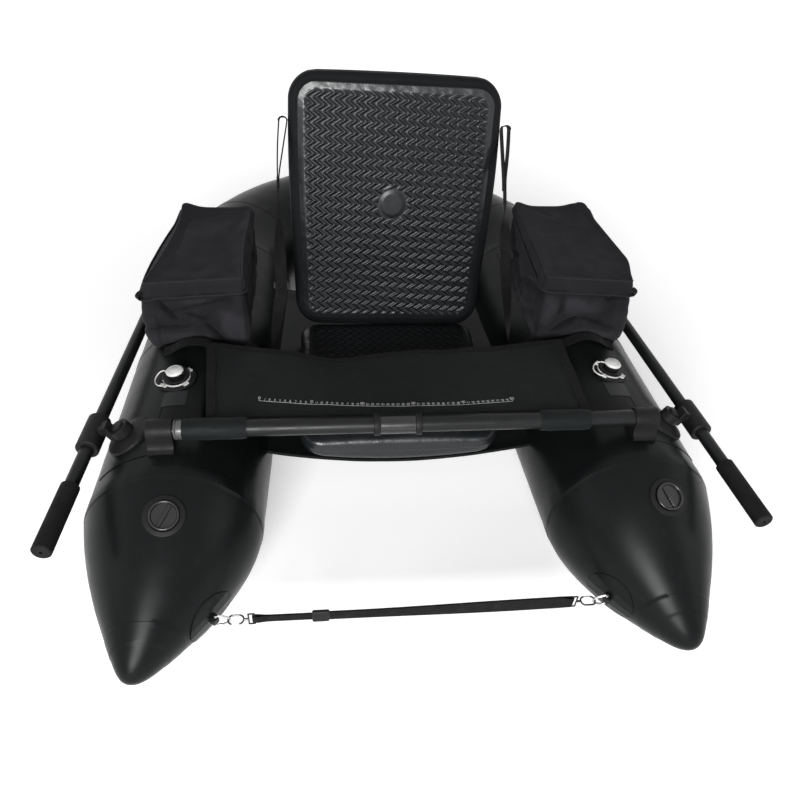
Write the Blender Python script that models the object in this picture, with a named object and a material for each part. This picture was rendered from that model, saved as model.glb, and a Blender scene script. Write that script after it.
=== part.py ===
"""A one-person float tube: two pontoon bows joined by a bent stern, with seat, apron, bags and oars.

Metres, +Z up. The bows point to -Y, the rider's left and right are +X and -X as seen from the bows.
Places along the craft are given as a distance behind the crossbar.
"""
import math

import bmesh
import bpy
from mathutils import Matrix, Vector

for old in list(bpy.data.objects):
    bpy.data.objects.remove(old, do_unlink=True)

# Driving dimensions of the inflated hull
tube_radius = 0.16
tube_out = 0.43
toe_out_share = 0.05
bar_to_nose = 0.0655
bar_to_tip = 0.341
bar_to_bend = 0.74
tip_out = 0.4773
tip_height = 0.115
tube_sides = 28

# Gaps between pieces that touch, that turn in each other and that hold each other
touch_gap = 0.0003
running_gap = 0.0005
cut_overrun = 0.002

# The crossbar and what it carries
bar_radius = 0.0155
bar_height = 0.352
bar_length = 0.885
bar_shift = -0.0125
joint_shift = -0.035

# Seat and backrest
seat_width = 0.41
seat_length = 0.415
seat_thickness = 0.058
seat_front = 0.085
seat_top = 0.243
back_width = 0.447
back_height = 0.548
back_thickness = 0.055
back_overlap = 0.042
back_foot = seat_front + seat_length - back_overlap
back_lean = math.radians(12)
back_roll = math.radians(1.2)

# Side bags
bag_front = 0.312
bag_length = 0.318
bag_inner = 0.31
bag_outer = 0.508
bag_outer_stern = 0.464
bag_base = 0.292
bag_rim = 0.428
bag_rim_rise = 0.02

# Oars
oar_radius = 0.0122
oar_front = 0.262
oar_rear = 0.52
blade_length = 0.28
blade_width = 0.118
lock_behind_bar = 0.045
lock_angle = math.radians(32)
oar_rise = 0.036
oar_arm = 0.054
oar_swing = math.radians(2.72)
oar_dip = math.radians(1.02)

flat_share = math.cos(math.pi / tube_sides)
axis_height = tube_radius * flat_share
bend_radius = tube_out - toe_out_share * bar_to_bend
hull_length = bar_to_tip + bar_to_bend + bend_radius + axis_height
bar_y = bar_to_tip - hull_length / 2
SIDES = (("left", -1), ("right", 1))
UP = Vector((0, 0, 1))
ALONG = Vector((0, 1, 0))
ACROSS = Vector((1, 0, 0))


def behind(distance):
    """The y of a place that lies this far behind the crossbar."""
    return bar_y + distance


def material(name, colour, roughness, metallic=0.0):
    made = bpy.data.materials.new(name)
    made.use_nodes = True
    shader = made.node_tree.nodes["Principled BSDF"]
    shader.inputs["Base Color"].default_value = (*colour, 1)
    shader.inputs["Roughness"].default_value = roughness
    shader.inputs["Metallic"].default_value = metallic
    made.diffuse_color = (*colour, 1)
    return made


skin = material("tube_skin", (0.022, 0.021, 0.021), 0.42)
nylon = material("bag_nylon", (0.026, 0.023, 0.027), 0.8)
foam = material("pressed_foam", (0.014, 0.016, 0.019), 0.35)
webbing = material("webbing", (0.012, 0.012, 0.013), 0.75)
cloth = material("apron_cloth", (0.016, 0.017, 0.018), 0.6)
black_metal = material("black_tube", (0.018, 0.019, 0.021), 0.3, 0.5)
black_plastic = material("black_plastic", (0.012, 0.012, 0.013), 0.35)
white_plastic = material("white_plastic", (0.75, 0.75, 0.74), 0.35)
rubber = material("grip_rubber", (0.015, 0.015, 0.015), 0.7)
steel = material("stainless_steel", (0.62, 0.62, 0.62), 0.2, 1.0)


def finish(name, bm, look, matrix=Matrix(), crease=35):
    """Turns a bmesh into a named object, with its faces out and its round stretches smooth."""
    bmesh.ops.recalc_face_normals(bm, faces=bm.faces[:])
    mesh = bpy.data.meshes.new(name)
    bm.to_mesh(mesh)
    bm.free()
    mesh.shade_smooth()
    mesh.set_sharp_from_angle(angle=math.radians(crease))
    mesh.materials.append(look)
    piece = bpy.data.objects.new(name, mesh)
    bpy.context.scene.collection.objects.link(piece)
    piece.matrix_world = matrix
    return piece


def pivot(piece, place):
    """Puts the origin of a moving piece on its joint's axis and leaves its shape where it is."""
    offset = piece.matrix_world.inverted() @ place
    piece.data.transform(Matrix.Translation(-offset))
    piece.matrix_world = piece.matrix_world @ Matrix.Translation(offset)


def helper(piece):
    """Marks a piece as a cutter or a guide, which isn't part of the object."""
    piece.hide_render = True
    piece.display_type = "WIRE"
    return piece


def combine(piece, other, operation):
    change = piece.modifiers.new(operation.lower(), "BOOLEAN")
    change.operation = operation
    change.object = other
    helper(other)


def loft(sections, close_ring=False):
    """A closed body through outlines that have the same number of points."""
    bm = bmesh.new()
    loops = [[bm.verts.new(point) for point in outline] for outline in sections]
    pairs = list(zip(loops, loops[1:]))
    if close_ring:
        pairs.append((loops[-1], loops[0]))
    for first, second in pairs:
        for i in range(len(first)):
            bm.faces.new((first[i - 1], first[i], second[i], second[i - 1]))
    if not close_ring:
        bm.faces.new(loops[0])
        bm.faces.new(loops[-1])
    return bm


def turned(profile, sides, closed=False):
    """Spins a profile of (radius, height) points about Z. A closed profile makes a ring."""
    bm = bmesh.new()
    corners = [bm.verts.new((radius, 0, height)) for radius, height in profile]
    edges = [bm.edges.new(pair) for pair in zip(corners, corners[1:])]
    if closed:
        edges.append(bm.edges.new((corners[-1], corners[0])))
    bmesh.ops.spin(bm, geom=corners + edges, axis=UP, cent=Vector(), steps=sides,
                   angle=math.tau, use_merge=True)
    bmesh.ops.remove_doubles(bm, verts=bm.verts[:], dist=touch_gap / 10)
    return bm


def tube_profile(inner, outer, low, high, edge):
    """The profile of a sleeve with softened outer edges."""
    return [(inner, low), (outer - edge, low), (outer, low + edge),
            (outer, high - edge), (outer - edge, high), (inner, high)]


def disc_profile(radius, low, high, edge):
    return [(0, low), (radius - edge, low), (radius, low + edge),
            (radius, high - edge), (radius - edge, high), (0, high)]


def block(size, edge=0.0):
    """A box with softened edges, about its own middle."""
    bm = bmesh.new()
    bmesh.ops.create_cube(bm, size=1)
    bmesh.ops.scale(bm, vec=size, verts=bm.verts[:])
    if edge:
        bmesh.ops.bevel(bm, geom=bm.edges[:], offset=edge, offset_type="OFFSET", segments=1,
                        profile=0.5, affect="EDGES", clamp_overlap=True, material=-1)
    return bm


def stand(origin, normal, along):
    """A frame with Z on the normal and X as near as can be to the direction along."""
    z = normal.normalized()
    x = (along - along.dot(z) * z).normalized()
    y = z.cross(x)
    turn = Matrix((x, y, z)).transposed().to_4x4()
    return Matrix.Translation(origin) @ turn


def shifted(x=0.0, y=0.0, z=0.0):
    return Matrix.Translation((x, y, z))


Z_TO_X = Matrix.Rotation(math.pi / 2, 4, "Y")
Z_TO_Y = Matrix.Rotation(-math.pi / 2, 4, "X")


def rounded(width, height, corner, steps=4, sides=2, pull=0.0):
    """A rectangle with round corners, drawn in by pull at the middle of each side."""
    points = []
    corners = ((1, 1, 0), (-1, 1, 1), (-1, -1, 2), (1, -1, 3))
    for i, (x_sign, y_sign, quarter) in enumerate(corners):
        centre = Vector((x_sign * (width / 2 - corner), y_sign * (height / 2 - corner)))
        for step in range(steps + 1):
            turn = math.pi / 2 * (quarter + step / steps)
            points.append(centre + corner * Vector((math.cos(turn), math.sin(turn))))
        x_next, y_next, _ = corners[(i + 1) % 4]
        start = points[-1]
        ending = Vector((x_next * (width / 2 - corner), y_next * (height / 2 - corner)))
        ending += corner * Vector((math.cos(math.pi / 2 * (quarter + 1)), math.sin(math.pi / 2 * (quarter + 1))))
        inward = Vector((-math.cos(math.pi / 2 * (quarter + 1)), -math.sin(math.pi / 2 * (quarter + 1))))
        for step in range(1, sides + 1):
            share = step / (sides + 1)
            points.append(start.lerp(ending, share) + inward * pull * math.sin(math.pi * share))
    return points


# The inflated hull: two air tubes that meet in the middle of the stern
nose_power = 1.525
nose_roundness = 0.843
tip_roundness = 0.24
tip_power = 8
drift_power = 1.69
nose_rings = 12
bend_rings = 9
# The bow's sections lie closer together towards its round tip, and the last one is nearly a point
ring_power = 1.8
last_share = 0.994


def axis_x(distance):
    return tube_out - toe_out_share * distance


def nose_ring(share):
    """Centre and radius of the bow's section, at a share of the way to the tip."""
    radius = tube_radius * (1 - share**nose_power) ** (nose_roundness - tip_roundness * share**tip_power)
    start = axis_x(-bar_to_nose)
    length = bar_to_tip - bar_to_nose
    x = start + (tip_out - start) * share**drift_power
    z = max(radius * flat_share, axis_height + (tip_height - axis_height) * share)
    return Vector((x, behind(-bar_to_nose - length * share), z)), radius


def hull_sections(side, swell):
    """Every section of one air tube from the tip to the stern's middle, swelled for use as a cutter."""
    rings = []
    for i in range(nose_rings, -1, -1):
        share = last_share * (1 - (1 - i / nose_rings) ** ring_power)
        centre, radius = nose_ring(share)
        rings.append((centre - ALONG * swell * share, ACROSS, radius + swell))
    for i in range(bend_rings + 1):
        turn = math.pi / 2 * i / bend_rings
        outward = Vector((math.cos(turn), math.sin(turn), 0))
        centre = Vector((0, behind(bar_to_bend), axis_height)) + bend_radius * outward
        centre.x = max(centre.x, touch_gap / 2)
        rings.append((centre, outward, tube_radius + swell))
    sections = []
    for centre, outward, radius in rings:
        outline = []
        for i in range(tube_sides):
            turn = math.tau * (i + 0.5) / tube_sides
            point = centre + radius * (math.cos(turn) * outward + math.sin(turn) * UP)
            outline.append(Vector((side * point.x, point.y, point.z)))
        sections.append(outline)
    return sections


cutters = {}
for word, side in SIDES:
    finish(word + "_air_tube", loft(hull_sections(side, 0)), skin, crease=60)
    cutter = finish(word + "_tube_cutter", loft(hull_sections(side, touch_gap / flat_share)), skin)
    cutters[side] = helper(cutter)


def on_tube(side, distance, angle):
    """A frame on the straight stretch of a tube: Z out of its skin, X along it towards the stern."""
    outward = Vector((side * math.sin(angle), 0, math.cos(angle)))
    centre = Vector((side * axis_x(distance), behind(distance), axis_height))
    normal = outward + ALONG * toe_out_share * math.sin(angle)
    return stand(centre + axis_height * outward, normal, Vector((-side * toe_out_share, 1, 0)))


def on_nose(side, ahead, angle, turn=0.0):
    """A frame on the bow's skin, this far ahead of the crossbar and this angle outwards from its top."""
    length = bar_to_tip - bar_to_nose

    def skin_point(share, at_angle):
        centre, radius = nose_ring(share)
        point = centre + radius * flat_share * Vector((math.sin(at_angle), 0, math.cos(at_angle)))
        return Vector((side * point.x, point.y, point.z))

    share = (ahead - bar_to_nose) / length
    small = 0.01
    here = skin_point(share, angle)
    aft = skin_point(share - small, angle) - skin_point(share + small, angle)
    round_it = skin_point(share, angle + small) - skin_point(share, angle - small)
    normal = aft.cross(round_it) * -side
    return stand(here, normal, aft) @ Matrix.Rotation(turn, 4, "Z")


# Crossbar: a tube in two halves, its centre joint, and the holders on the hull
holder_middle = 0.4425
holder_length = 0.045
holder_radius = 0.0195
holder_foot = 0.056
joint_length = 0.078
collar_length = 0.011
collar_radius = 0.0205
joint_radius = 0.0178
tab_offset = 0.322
tab_length = 0.09
tab_radius = 0.0198
bar_sides = 18
soft_edge = 0.001
bar_place = Vector((0, bar_y, bar_height))
left_end = bar_shift - bar_length / 2
right_end = bar_shift + bar_length / 2


def across_bar(x):
    """A frame on the crossbar's axis whose Z points along it."""
    return Matrix.Translation(bar_place + ACROSS * x) @ Z_TO_X


for name, low, high in (("left_bar_tube", left_end, joint_shift - touch_gap / 2),
                        ("right_bar_tube", joint_shift + touch_gap / 2, right_end)):
    profile = disc_profile(bar_radius, low - joint_shift, high - joint_shift, soft_edge)
    finish(name, turned(profile, bar_sides), black_metal, across_bar(joint_shift))

half_joint = joint_length / 2
joint_profile = [
    (bar_radius + touch_gap, -half_joint), (collar_radius - soft_edge, -half_joint),
    (collar_radius, -half_joint + soft_edge), (collar_radius, -half_joint + collar_length),
    (joint_radius, -half_joint + collar_length + soft_edge),
    (joint_radius, half_joint - collar_length - soft_edge), (collar_radius, half_joint - collar_length),
    (collar_radius, half_joint - soft_edge), (collar_radius - soft_edge, half_joint),
    (bar_radius + touch_gap, half_joint)]
finish("bar_joint", turned(joint_profile, bar_sides, closed=True), black_plastic, across_bar(joint_shift))

for word, side in SIDES:
    tab = tube_profile(bar_radius + running_gap, tab_radius, -tab_length / 2, tab_length / 2, soft_edge)
    finish(word + "_apron_tab", turned(tab, bar_sides, closed=True), nylon,
           across_bar(joint_shift + side * tab_offset))

for word, side in SIDES:
    foot_depth = bar_height - axis_height
    outline = []
    for i in range(9):
        turn = math.pi * i / 8
        outline.append(Vector((0, holder_radius * math.cos(turn), holder_radius * math.sin(turn))))
    outline += [Vector((0, -holder_radius, -holder_radius)), Vector((0, -holder_foot / 2, -foot_depth / 4)),
                Vector((0, -holder_foot / 2, -foot_depth / 2)), Vector((0, holder_foot / 2, -foot_depth / 2)),
                Vector((0, holder_foot / 2, -foot_depth / 4)), Vector((0, holder_radius, -holder_radius))]
    ends = [[point + ACROSS * x for point in outline] for x in (-holder_length / 2, holder_length / 2)]
    place = Matrix.Translation(bar_place + ACROSS * side * holder_middle)
    holder = finish(word + "_bar_holder", loft(ends), black_plastic, place)
    bore = turned(disc_profile(bar_radius + running_gap, -holder_length, holder_length, soft_edge), bar_sides)
    combine(holder, finish(word + "_holder_bore", bore, black_plastic, place @ Z_TO_X), "DIFFERENCE")
    combine(holder, cutters[side], "DIFFERENCE")

# Apron: a sheet of coated cloth from the crossbar to the bags, hanging into the middle
apron_front = 0.0204
apron_back = 0.262
apron_left_front = -0.366
apron_left_back = -0.392
apron_right_front = 0.345
apron_right_back = 0.362
apron_thickness = 0.003
apron_sag = 0.03
apron_dip = 0.014
apron_dip_share = 0.37
apron_dip_width_share = 0.1
apron_scallop = 0.022
apron_back_top = 2 * axis_height + touch_gap + apron_thickness
apron_grid = (22, 9)


def apron_point(u, v):
    """A point of the apron's upper face: u runs from left to right, v from the bar to the bags."""
    left = apron_left_front + (apron_left_back - apron_left_front) * v
    right = apron_right_front + (apron_right_back - apron_right_front) * v
    sag = apron_sag * math.sin(math.pi * u) * (0.15 + 0.85 * v)
    dip = apron_dip * math.exp(-((u - apron_dip_share) / apron_dip_width_share) ** 2) * v * v
    back = apron_back - apron_scallop * math.sin(math.pi * u) * v
    height = bar_height + (apron_back_top - bar_height) * v - sag - dip
    return Vector((left + (right - left) * u, behind(apron_front + (back - apron_front) * v), height))


def sheet(columns, rows, place, thickness):
    """A sheet of even thickness whose upper face follows place(u, v)."""
    bm = bmesh.new()
    bmesh.ops.create_grid(bm, x_segments=columns, y_segments=rows, size=0.5)
    for corner in bm.verts:
        corner.co = place(corner.co.x + 0.5, corner.co.y + 0.5)
    under = bmesh.ops.extrude_face_region(bm, geom=bm.faces[:], use_keep_orig=True)
    moved = [item for item in under["geom"] if isinstance(item, bmesh.types.BMVert)]
    bmesh.ops.translate(bm, verts=moved, vec=-UP * thickness)
    return bm


finish("apron_panel", sheet(*apron_grid, apron_point, apron_thickness), cloth, crease=60)

# Seat: a sling between the tubes, and a crowned cushion on it
sling_front = 0.1
sling_back = 0.66
sling_scallop = 0.055
sling_half_width = 0.292
sling_edge = 0.208
sling_belly = 0.048
sling_thickness = 0.004


def sling_height(x):
    """The sling's upper face, a shallow hollow across the craft."""
    return sling_edge - sling_belly * (1 - (x / sling_half_width) ** 2)


def sling_point(u, v):
    x = sling_half_width * (2 * u - 1)
    front = sling_front + sling_scallop * (2 * u - 1) ** 2
    return Vector((x, behind(front + (sling_back - front) * v), sling_height(x)))


sling = finish("seat_sling", sheet(16, 5, sling_point, sling_thickness), skin, crease=60)
for _, side in SIDES:
    combine(sling, cutters[side], "DIFFERENCE")

seat_corner = 0.045
seat_edge = 0.02
seat_crown = 0.012
seat_pull = 0.008
edge_steps = 4
# Each step of a crowned face: the share of the way to the middle, and the share of the crown's height
crown_shares = ((0.22, 0.45), (0.48, 0.8), (0.78, 0.97))


def cushion(width, height, thickness, corner, edge, pull, crown, channel=0.0, rim=0.0):
    """A cushion that lies on Z = 0, with round edges, drawn-in sides and a crowned face."""
    sections = []

    def ring(inset, level):
        outline = rounded(width - 2 * inset, height - 2 * inset, max(corner - inset, corner / 4), pull=pull)
        sections.append([Vector((p.x, p.y, level)) for p in outline])

    for step in range(edge_steps + 1):
        turn = math.pi / 2 * step / edge_steps
        ring(edge * (1 - math.sin(turn)), edge * (1 - math.cos(turn)))
    for step in range(edge_steps + 1):
        turn = math.pi / 2 * step / edge_steps
        ring(edge * (1 - math.cos(turn)), thickness - edge * (1 - math.sin(turn)))
    if channel:
        for share, drop in ((0, 0), (0.3, channel), (0.7, channel), (1, 0)):
            ring(edge + rim + 2 * channel * share, thickness - drop)
    start = sections[-1]
    for inward_share, rise_share in crown_shares:
        sections.append([Vector((p.x * (1 - inward_share), p.y * (1 - inward_share),
                                 thickness + crown * rise_share)) for p in start])
    return loft(sections)


seat_bottom = seat_top - seat_crown - seat_thickness
seat = cushion(seat_width, seat_length, seat_thickness, seat_corner, seat_edge, seat_pull, seat_crown)
for corner in seat.verts:
    share = min(1, 1 - corner.co.z / seat_thickness)
    if share > 0:
        corner.co.z += share * (sling_height(corner.co.x) + 2 * touch_gap - seat_bottom)
finish("seat_cushion", seat, foam, shifted(y=behind(seat_front + seat_length / 2), z=seat_bottom), crease=50)

# Backrest: a framed cushion that stands on the seat's rear edge and folds forward about its front foot
back_corner = 0.05
back_edge = 0.016
back_pull = -0.003
back_crown = 0.006
back_channel = 0.004
back_rim = 0.006
back_foot_gap = 0.0016
# The rounded foot stands on the seat's face on its lower corner, so the hinge line lies this much higher
foot_rise = back_edge * (1 + math.sin(back_lean) - math.cos(back_lean)) + back_foot_gap
foot_rise += (back_width / 2 - back_corner) * math.sin(back_roll)
back_hinge = Vector((0, behind(back_foot), seat_top - seat_crown + foot_rise))
back_face = Vector((0, -math.cos(back_lean), math.sin(back_lean)))
back_frame = stand(back_hinge, back_face, ACROSS) @ Matrix.Rotation(-back_roll, 4, "Z")
backrest = cushion(back_width, back_height, back_thickness, back_corner, back_edge, back_pull,
                   back_crown, back_channel, back_rim)
backrest.transform(shifted(y=back_height / 2, z=-back_thickness))
finish("backrest_cushion", backrest, foam, back_frame, crease=50)


def band(path, thickness, columns=1):
    """A flat strap along a path of (point, width direction, width). A strap that twists needs several columns."""
    sections = []
    for i, (point, across, width) in enumerate(path):
        before = path[max(i - 1, 0)][0]
        after = path[min(i + 1, len(path) - 1)][0]
        along = (after - before).normalized()
        across = (across - across.dot(along) * along).normalized()
        lift = along.cross(across) * thickness / 2
        half = across * width / 2
        row = [point + half * (1 - 2 * k / columns) for k in range(columns + 1)]
        sections.append([p + lift for p in row] + [p - lift for p in reversed(row)])
    return loft(sections)


def wire(path, radius, sides=8, normal=UP, closed=False):
    """A round bar along a path that lies in the plane with this normal."""
    sections = []
    count = len(path)
    for i, point in enumerate(path):
        before = path[i - 1] if closed or i else point
        after = path[(i + 1) % count] if closed or i < count - 1 else point
        along = (after - before).normalized()
        outward = along.cross(normal)
        outline = []
        for k in range(sides):
            turn = math.tau * (k + 0.5) / sides
            outline.append(point + radius * (math.cos(turn) * outward + math.sin(turn) * normal))
        sections.append(outline)
    return loft(sections, close_ring=closed)


def arc(centre, radius_x, radius_y, start, end, steps):
    """Points on an ellipse in the XY plane, between two angles in degrees."""
    points = []
    for i in range(steps + 1):
        turn = math.radians(start + (end - start) * i / steps)
        points.append(centre + Vector((radius_x * math.cos(turn), radius_y * math.sin(turn), 0)))
    return points


def mirrored(side, x, distance, z):
    return Vector((side * x, behind(distance), z))


# Straps of the backrest: looped over at its side, turned flat to a small buckle, then anchored on the tube
strap_width = 0.025
strap_thickness = 0.002
loop_width = 0.017
loop_height_share = 0.818
loop_depth_share = 0.55
strap_out = 0.017
buckle_out = 0.0255
merge_behind_foot = 0.042
merge_height = 0.592
left_buckle_ahead = 0.058
right_buckle_ahead = 0.03
left_buckle_height = 0.392
right_buckle_height = 0.448
strap_merge = (back_width / 2 + strap_out, back_foot + merge_behind_foot, merge_height)
buckle_spots = {-1: (back_width / 2 + strap_out, back_foot - left_buckle_ahead, left_buckle_height),
                1: (back_width / 2 + buckle_out, back_foot - right_buckle_ahead, right_buckle_height)}
buckle_width = 0.033
buckle_length = 0.014
buckle_thickness = 0.007
anchor_distance = 0.325
anchor_angles = (-62, -66, -70, -73)
turn_shares = (0.1, 0.25, 0.4, 0.55, 0.7, 0.85)
turn_columns = 4
strap_lift = tube_radius - axis_height + strap_thickness / 2 + 3 * touch_gap

for word, side in SIDES:
    reach = side * (back_width / 2 - back_pull + strap_thickness / 2 + 2 * touch_gap)
    top = back_frame @ Vector((reach, back_height * loop_height_share, -back_thickness * loop_depth_share))
    merge = mirrored(side, *strap_merge)
    buckle = mirrored(side, *buckle_spots[side])
    out = ACROSS * side
    run = (merge - buckle).normalized()
    edgewise = run.cross(ACROSS).normalized()
    beside = out * (strap_thickness + touch_gap)
    loop_foot = (top - merge).length / 3
    path = [(merge - beside - run * strap_width, edgewise), (merge - beside, edgewise),
            (top - UP * loop_width / 3, edgewise), (top + UP * loop_width / 6 + out * loop_width / 6, edgewise),
            (top + UP * loop_width / 3 + out * loop_width / 2, edgewise),
            (top + UP * loop_width / 6 + out * loop_width * 0.85, edgewise),
            (top - UP * loop_width / 3 + out * loop_width, edgewise),
            (merge + UP * loop_foot, edgewise), (merge - run * strap_width, edgewise)]
    upper = merge - run * strap_width * 2
    over = buckle - edgewise * ((buckle_thickness + strap_thickness) / 2 + touch_gap)
    for share in turn_shares:
        across = edgewise.lerp(ACROSS, share)
        path.append((upper.lerp(buckle + run * buckle_length * 2, share), across))
    path += [(buckle + run * buckle_length * 2, ACROSS), (over + run * buckle_length * 0.75, ACROSS),
             (over - run * buckle_length * 0.75, ACROSS)]
    strap = band([(point, across, strap_width) for point, across in path], strap_thickness, turn_columns)
    pivot(finish(word + "_back_strap", strap, webbing, crease=30), back_hinge)
    foot = []
    for degrees in anchor_angles:
        place = on_tube(side, anchor_distance, math.radians(degrees))
        lift = strap_lift if foot else strap_lift + strap_thickness / 2
        foot.append((place @ Vector((0, 0, lift)), place.col[0].to_3d(), strap_width))
    start = buckle - run * buckle_length
    stretch = foot[0][0] - start
    anchor = [(buckle + run * buckle_length / 2, ACROSS, strap_width), (start, ACROSS, strap_width)]
    for share in turn_shares:
        anchor.append((start + stretch * share, ACROSS.lerp(ALONG, share), strap_width))
    finish(word + "_anchor_strap", band(anchor + foot, strap_thickness, turn_columns), webbing, crease=30)
    place = stand(buckle, edgewise, run)
    shell = finish(word + "_strap_buckle", block((buckle_length, buckle_width, buckle_thickness), soft_edge),
                   black_plastic, place)
    slot = block((buckle_length * 2, strap_width + 2 * touch_gap, strap_thickness + 2 * touch_gap))
    combine(shell, finish(word + "_buckle_slot", slot, black_plastic, place), "DIFFERENCE")

# Side bags: soft boxes with an open top that ride on the tubes, and lids that tip back about their rear edge
bag_wall = 0.004
bag_corner = 0.022
bag_floor = 0.326
bag_bulge = 0.005
lid_wall = 0.0028
lid_clearance = 0.0008
lid_skirt = 0.03
lid_rear_skirt = 0.008
lid_piping = 0.001
lid_sag = 0.002
sag_shares = ((0.25, 0.35), (0.55, 0.85), (0.85, 1.0))
corner_steps = 3
edge_points = 4


def soft_outline(corners, radius):
    """The outline of a four-sided bag with round corners and even points along its sides."""
    stretches = []
    for i, corner in enumerate(corners):
        before = (corners[i - 1] - corner).normalized()
        after = (corners[(i + 1) % len(corners)] - corner).normalized()
        half = before.angle(after) / 2
        centre = corner + (before + after).normalized() * radius / math.sin(half)
        first = corner + before * radius / math.tan(half)
        last = corner + after * radius / math.tan(half)
        middle = (first - centre).angle(last - centre)
        turn_sign = 1 if before.cross(after) < 0 else -1
        points = []
        for step in range(corner_steps + 1):
            turn = middle * step / corner_steps
            arm = (first - centre).copy()
            arm.rotate(Matrix.Rotation(turn_sign * turn, 2))
            points.append(centre + arm)
        stretches.append(points)
    outline = []
    for i, points in enumerate(stretches):
        outline += points
        following = stretches[(i + 1) % len(stretches)][0]
        for step in range(1, edge_points):
            outline.append(points[-1].lerp(following, step / edge_points))
    return outline


def bag_plan(side, inset):
    """The bag's plan, with every wall moved in by inset."""
    rear = bag_front + bag_length
    slant = (bag_outer - bag_outer_stern) / bag_length
    front_y = bag_front + inset
    rear_y = rear - inset

    def outer(distance):
        return bag_outer - slant * (distance - bag_front) - inset * math.hypot(1, slant)

    corners = [Vector((bag_inner + inset, front_y)), Vector((outer(front_y), front_y)),
               Vector((outer(rear_y), rear_y)), Vector((bag_inner + inset, rear_y))]
    outline = soft_outline(corners, max(bag_corner - inset, bag_corner / 4))
    return [Vector((side * p.x, behind(p.y))) for p in outline]


def rim_height(y):
    return bag_rim + bag_rim_rise * (y - behind(bag_front)) / bag_length


def at_level(plan, level):
    return [Vector((p.x, p.y, level)) for p in plan]


def under_rim(plan, depth):
    return [Vector((p.x, p.y, rim_height(p.y) - depth)) for p in plan]


for word, side in SIDES:
    soft = bag_wall / 3
    sections = [at_level(bag_plan(side, bag_wall), bag_base), at_level(bag_plan(side, soft), bag_base + bag_wall),
                at_level(bag_plan(side, -bag_bulge * 0.4), bag_base + bag_wall * 6),
                under_rim(bag_plan(side, -bag_bulge * 0.4), lid_skirt * 2),
                under_rim(bag_plan(side, 0), lid_skirt + bag_wall),
                under_rim(bag_plan(side, 0), soft), under_rim(bag_plan(side, soft), 0),
                under_rim(bag_plan(side, bag_wall), 0), at_level(bag_plan(side, bag_wall), bag_floor)]
    bag = finish(word + "_side_bag", loft(sections), nylon, crease=50)
    combine(bag, cutters[side], "DIFFERENCE")
    inner = bag_plan(side, -lid_clearance)
    outer = bag_plan(side, -lid_clearance - lid_wall)
    crown = bag_plan(side, bag_corner / 2)

    def skirt(p):
        share = (p.y - behind(bag_front)) / bag_length
        share = min(max(share, 0), 1)
        return rim_height(p.y) - lid_skirt + (lid_skirt - lid_rear_skirt) * share

    sections = [[Vector((p.x, p.y, rim_height(p.y) + running_gap)) for p in inner],
                [Vector((p.x, p.y, skirt(p))) for p in inner],
                [Vector((p.x, p.y, skirt(p))) for p in outer],
                under_rim(outer, -lid_wall), under_rim(bag_plan(side, 0), -running_gap - 2 * lid_wall),
                under_rim(bag_plan(side, lid_wall), -running_gap - 2 * lid_wall),
                under_rim(crown, -running_gap - lid_wall - lid_piping)]
    middle = sum(crown, Vector((0, 0))) / len(crown)
    for inward_share, sag_share in sag_shares:
        ring = [p.lerp(middle, inward_share) for p in crown]
        sections.append(under_rim(ring, lid_sag * sag_share - running_gap - lid_wall - lid_piping))
    rear_edge = max(p.y for p in outer)
    lid_hinge = Vector((middle.x, rear_edge, rim_height(behind(bag_front + bag_length)) - lid_rear_skirt))
    pivot(finish(word + "_bag_lid", loft(sections), nylon, crease=50), lid_hinge)

# Carry handles: webbing arches over the tubes ahead of the bags
handle_distance = 0.281
handle_width = 0.03
handle_rise = 0.012
handle_reach = 19
handle_steps = 8
handle_foot = 1.25
for word, side in SIDES:
    path = []
    for i in range(handle_steps + 1):
        share = 2 * i / handle_steps - 1
        place = on_tube(side, handle_distance, math.radians(handle_reach * share))
        lift = strap_lift + handle_rise * max(0, math.cos(math.pi / 2 * share * handle_foot))
        path.append((place @ Vector((0, 0, lift)), place.col[0].to_3d(), handle_width))
    finish(word + "_carry_handle", band(path, strap_thickness), webbing, crease=30)

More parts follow.
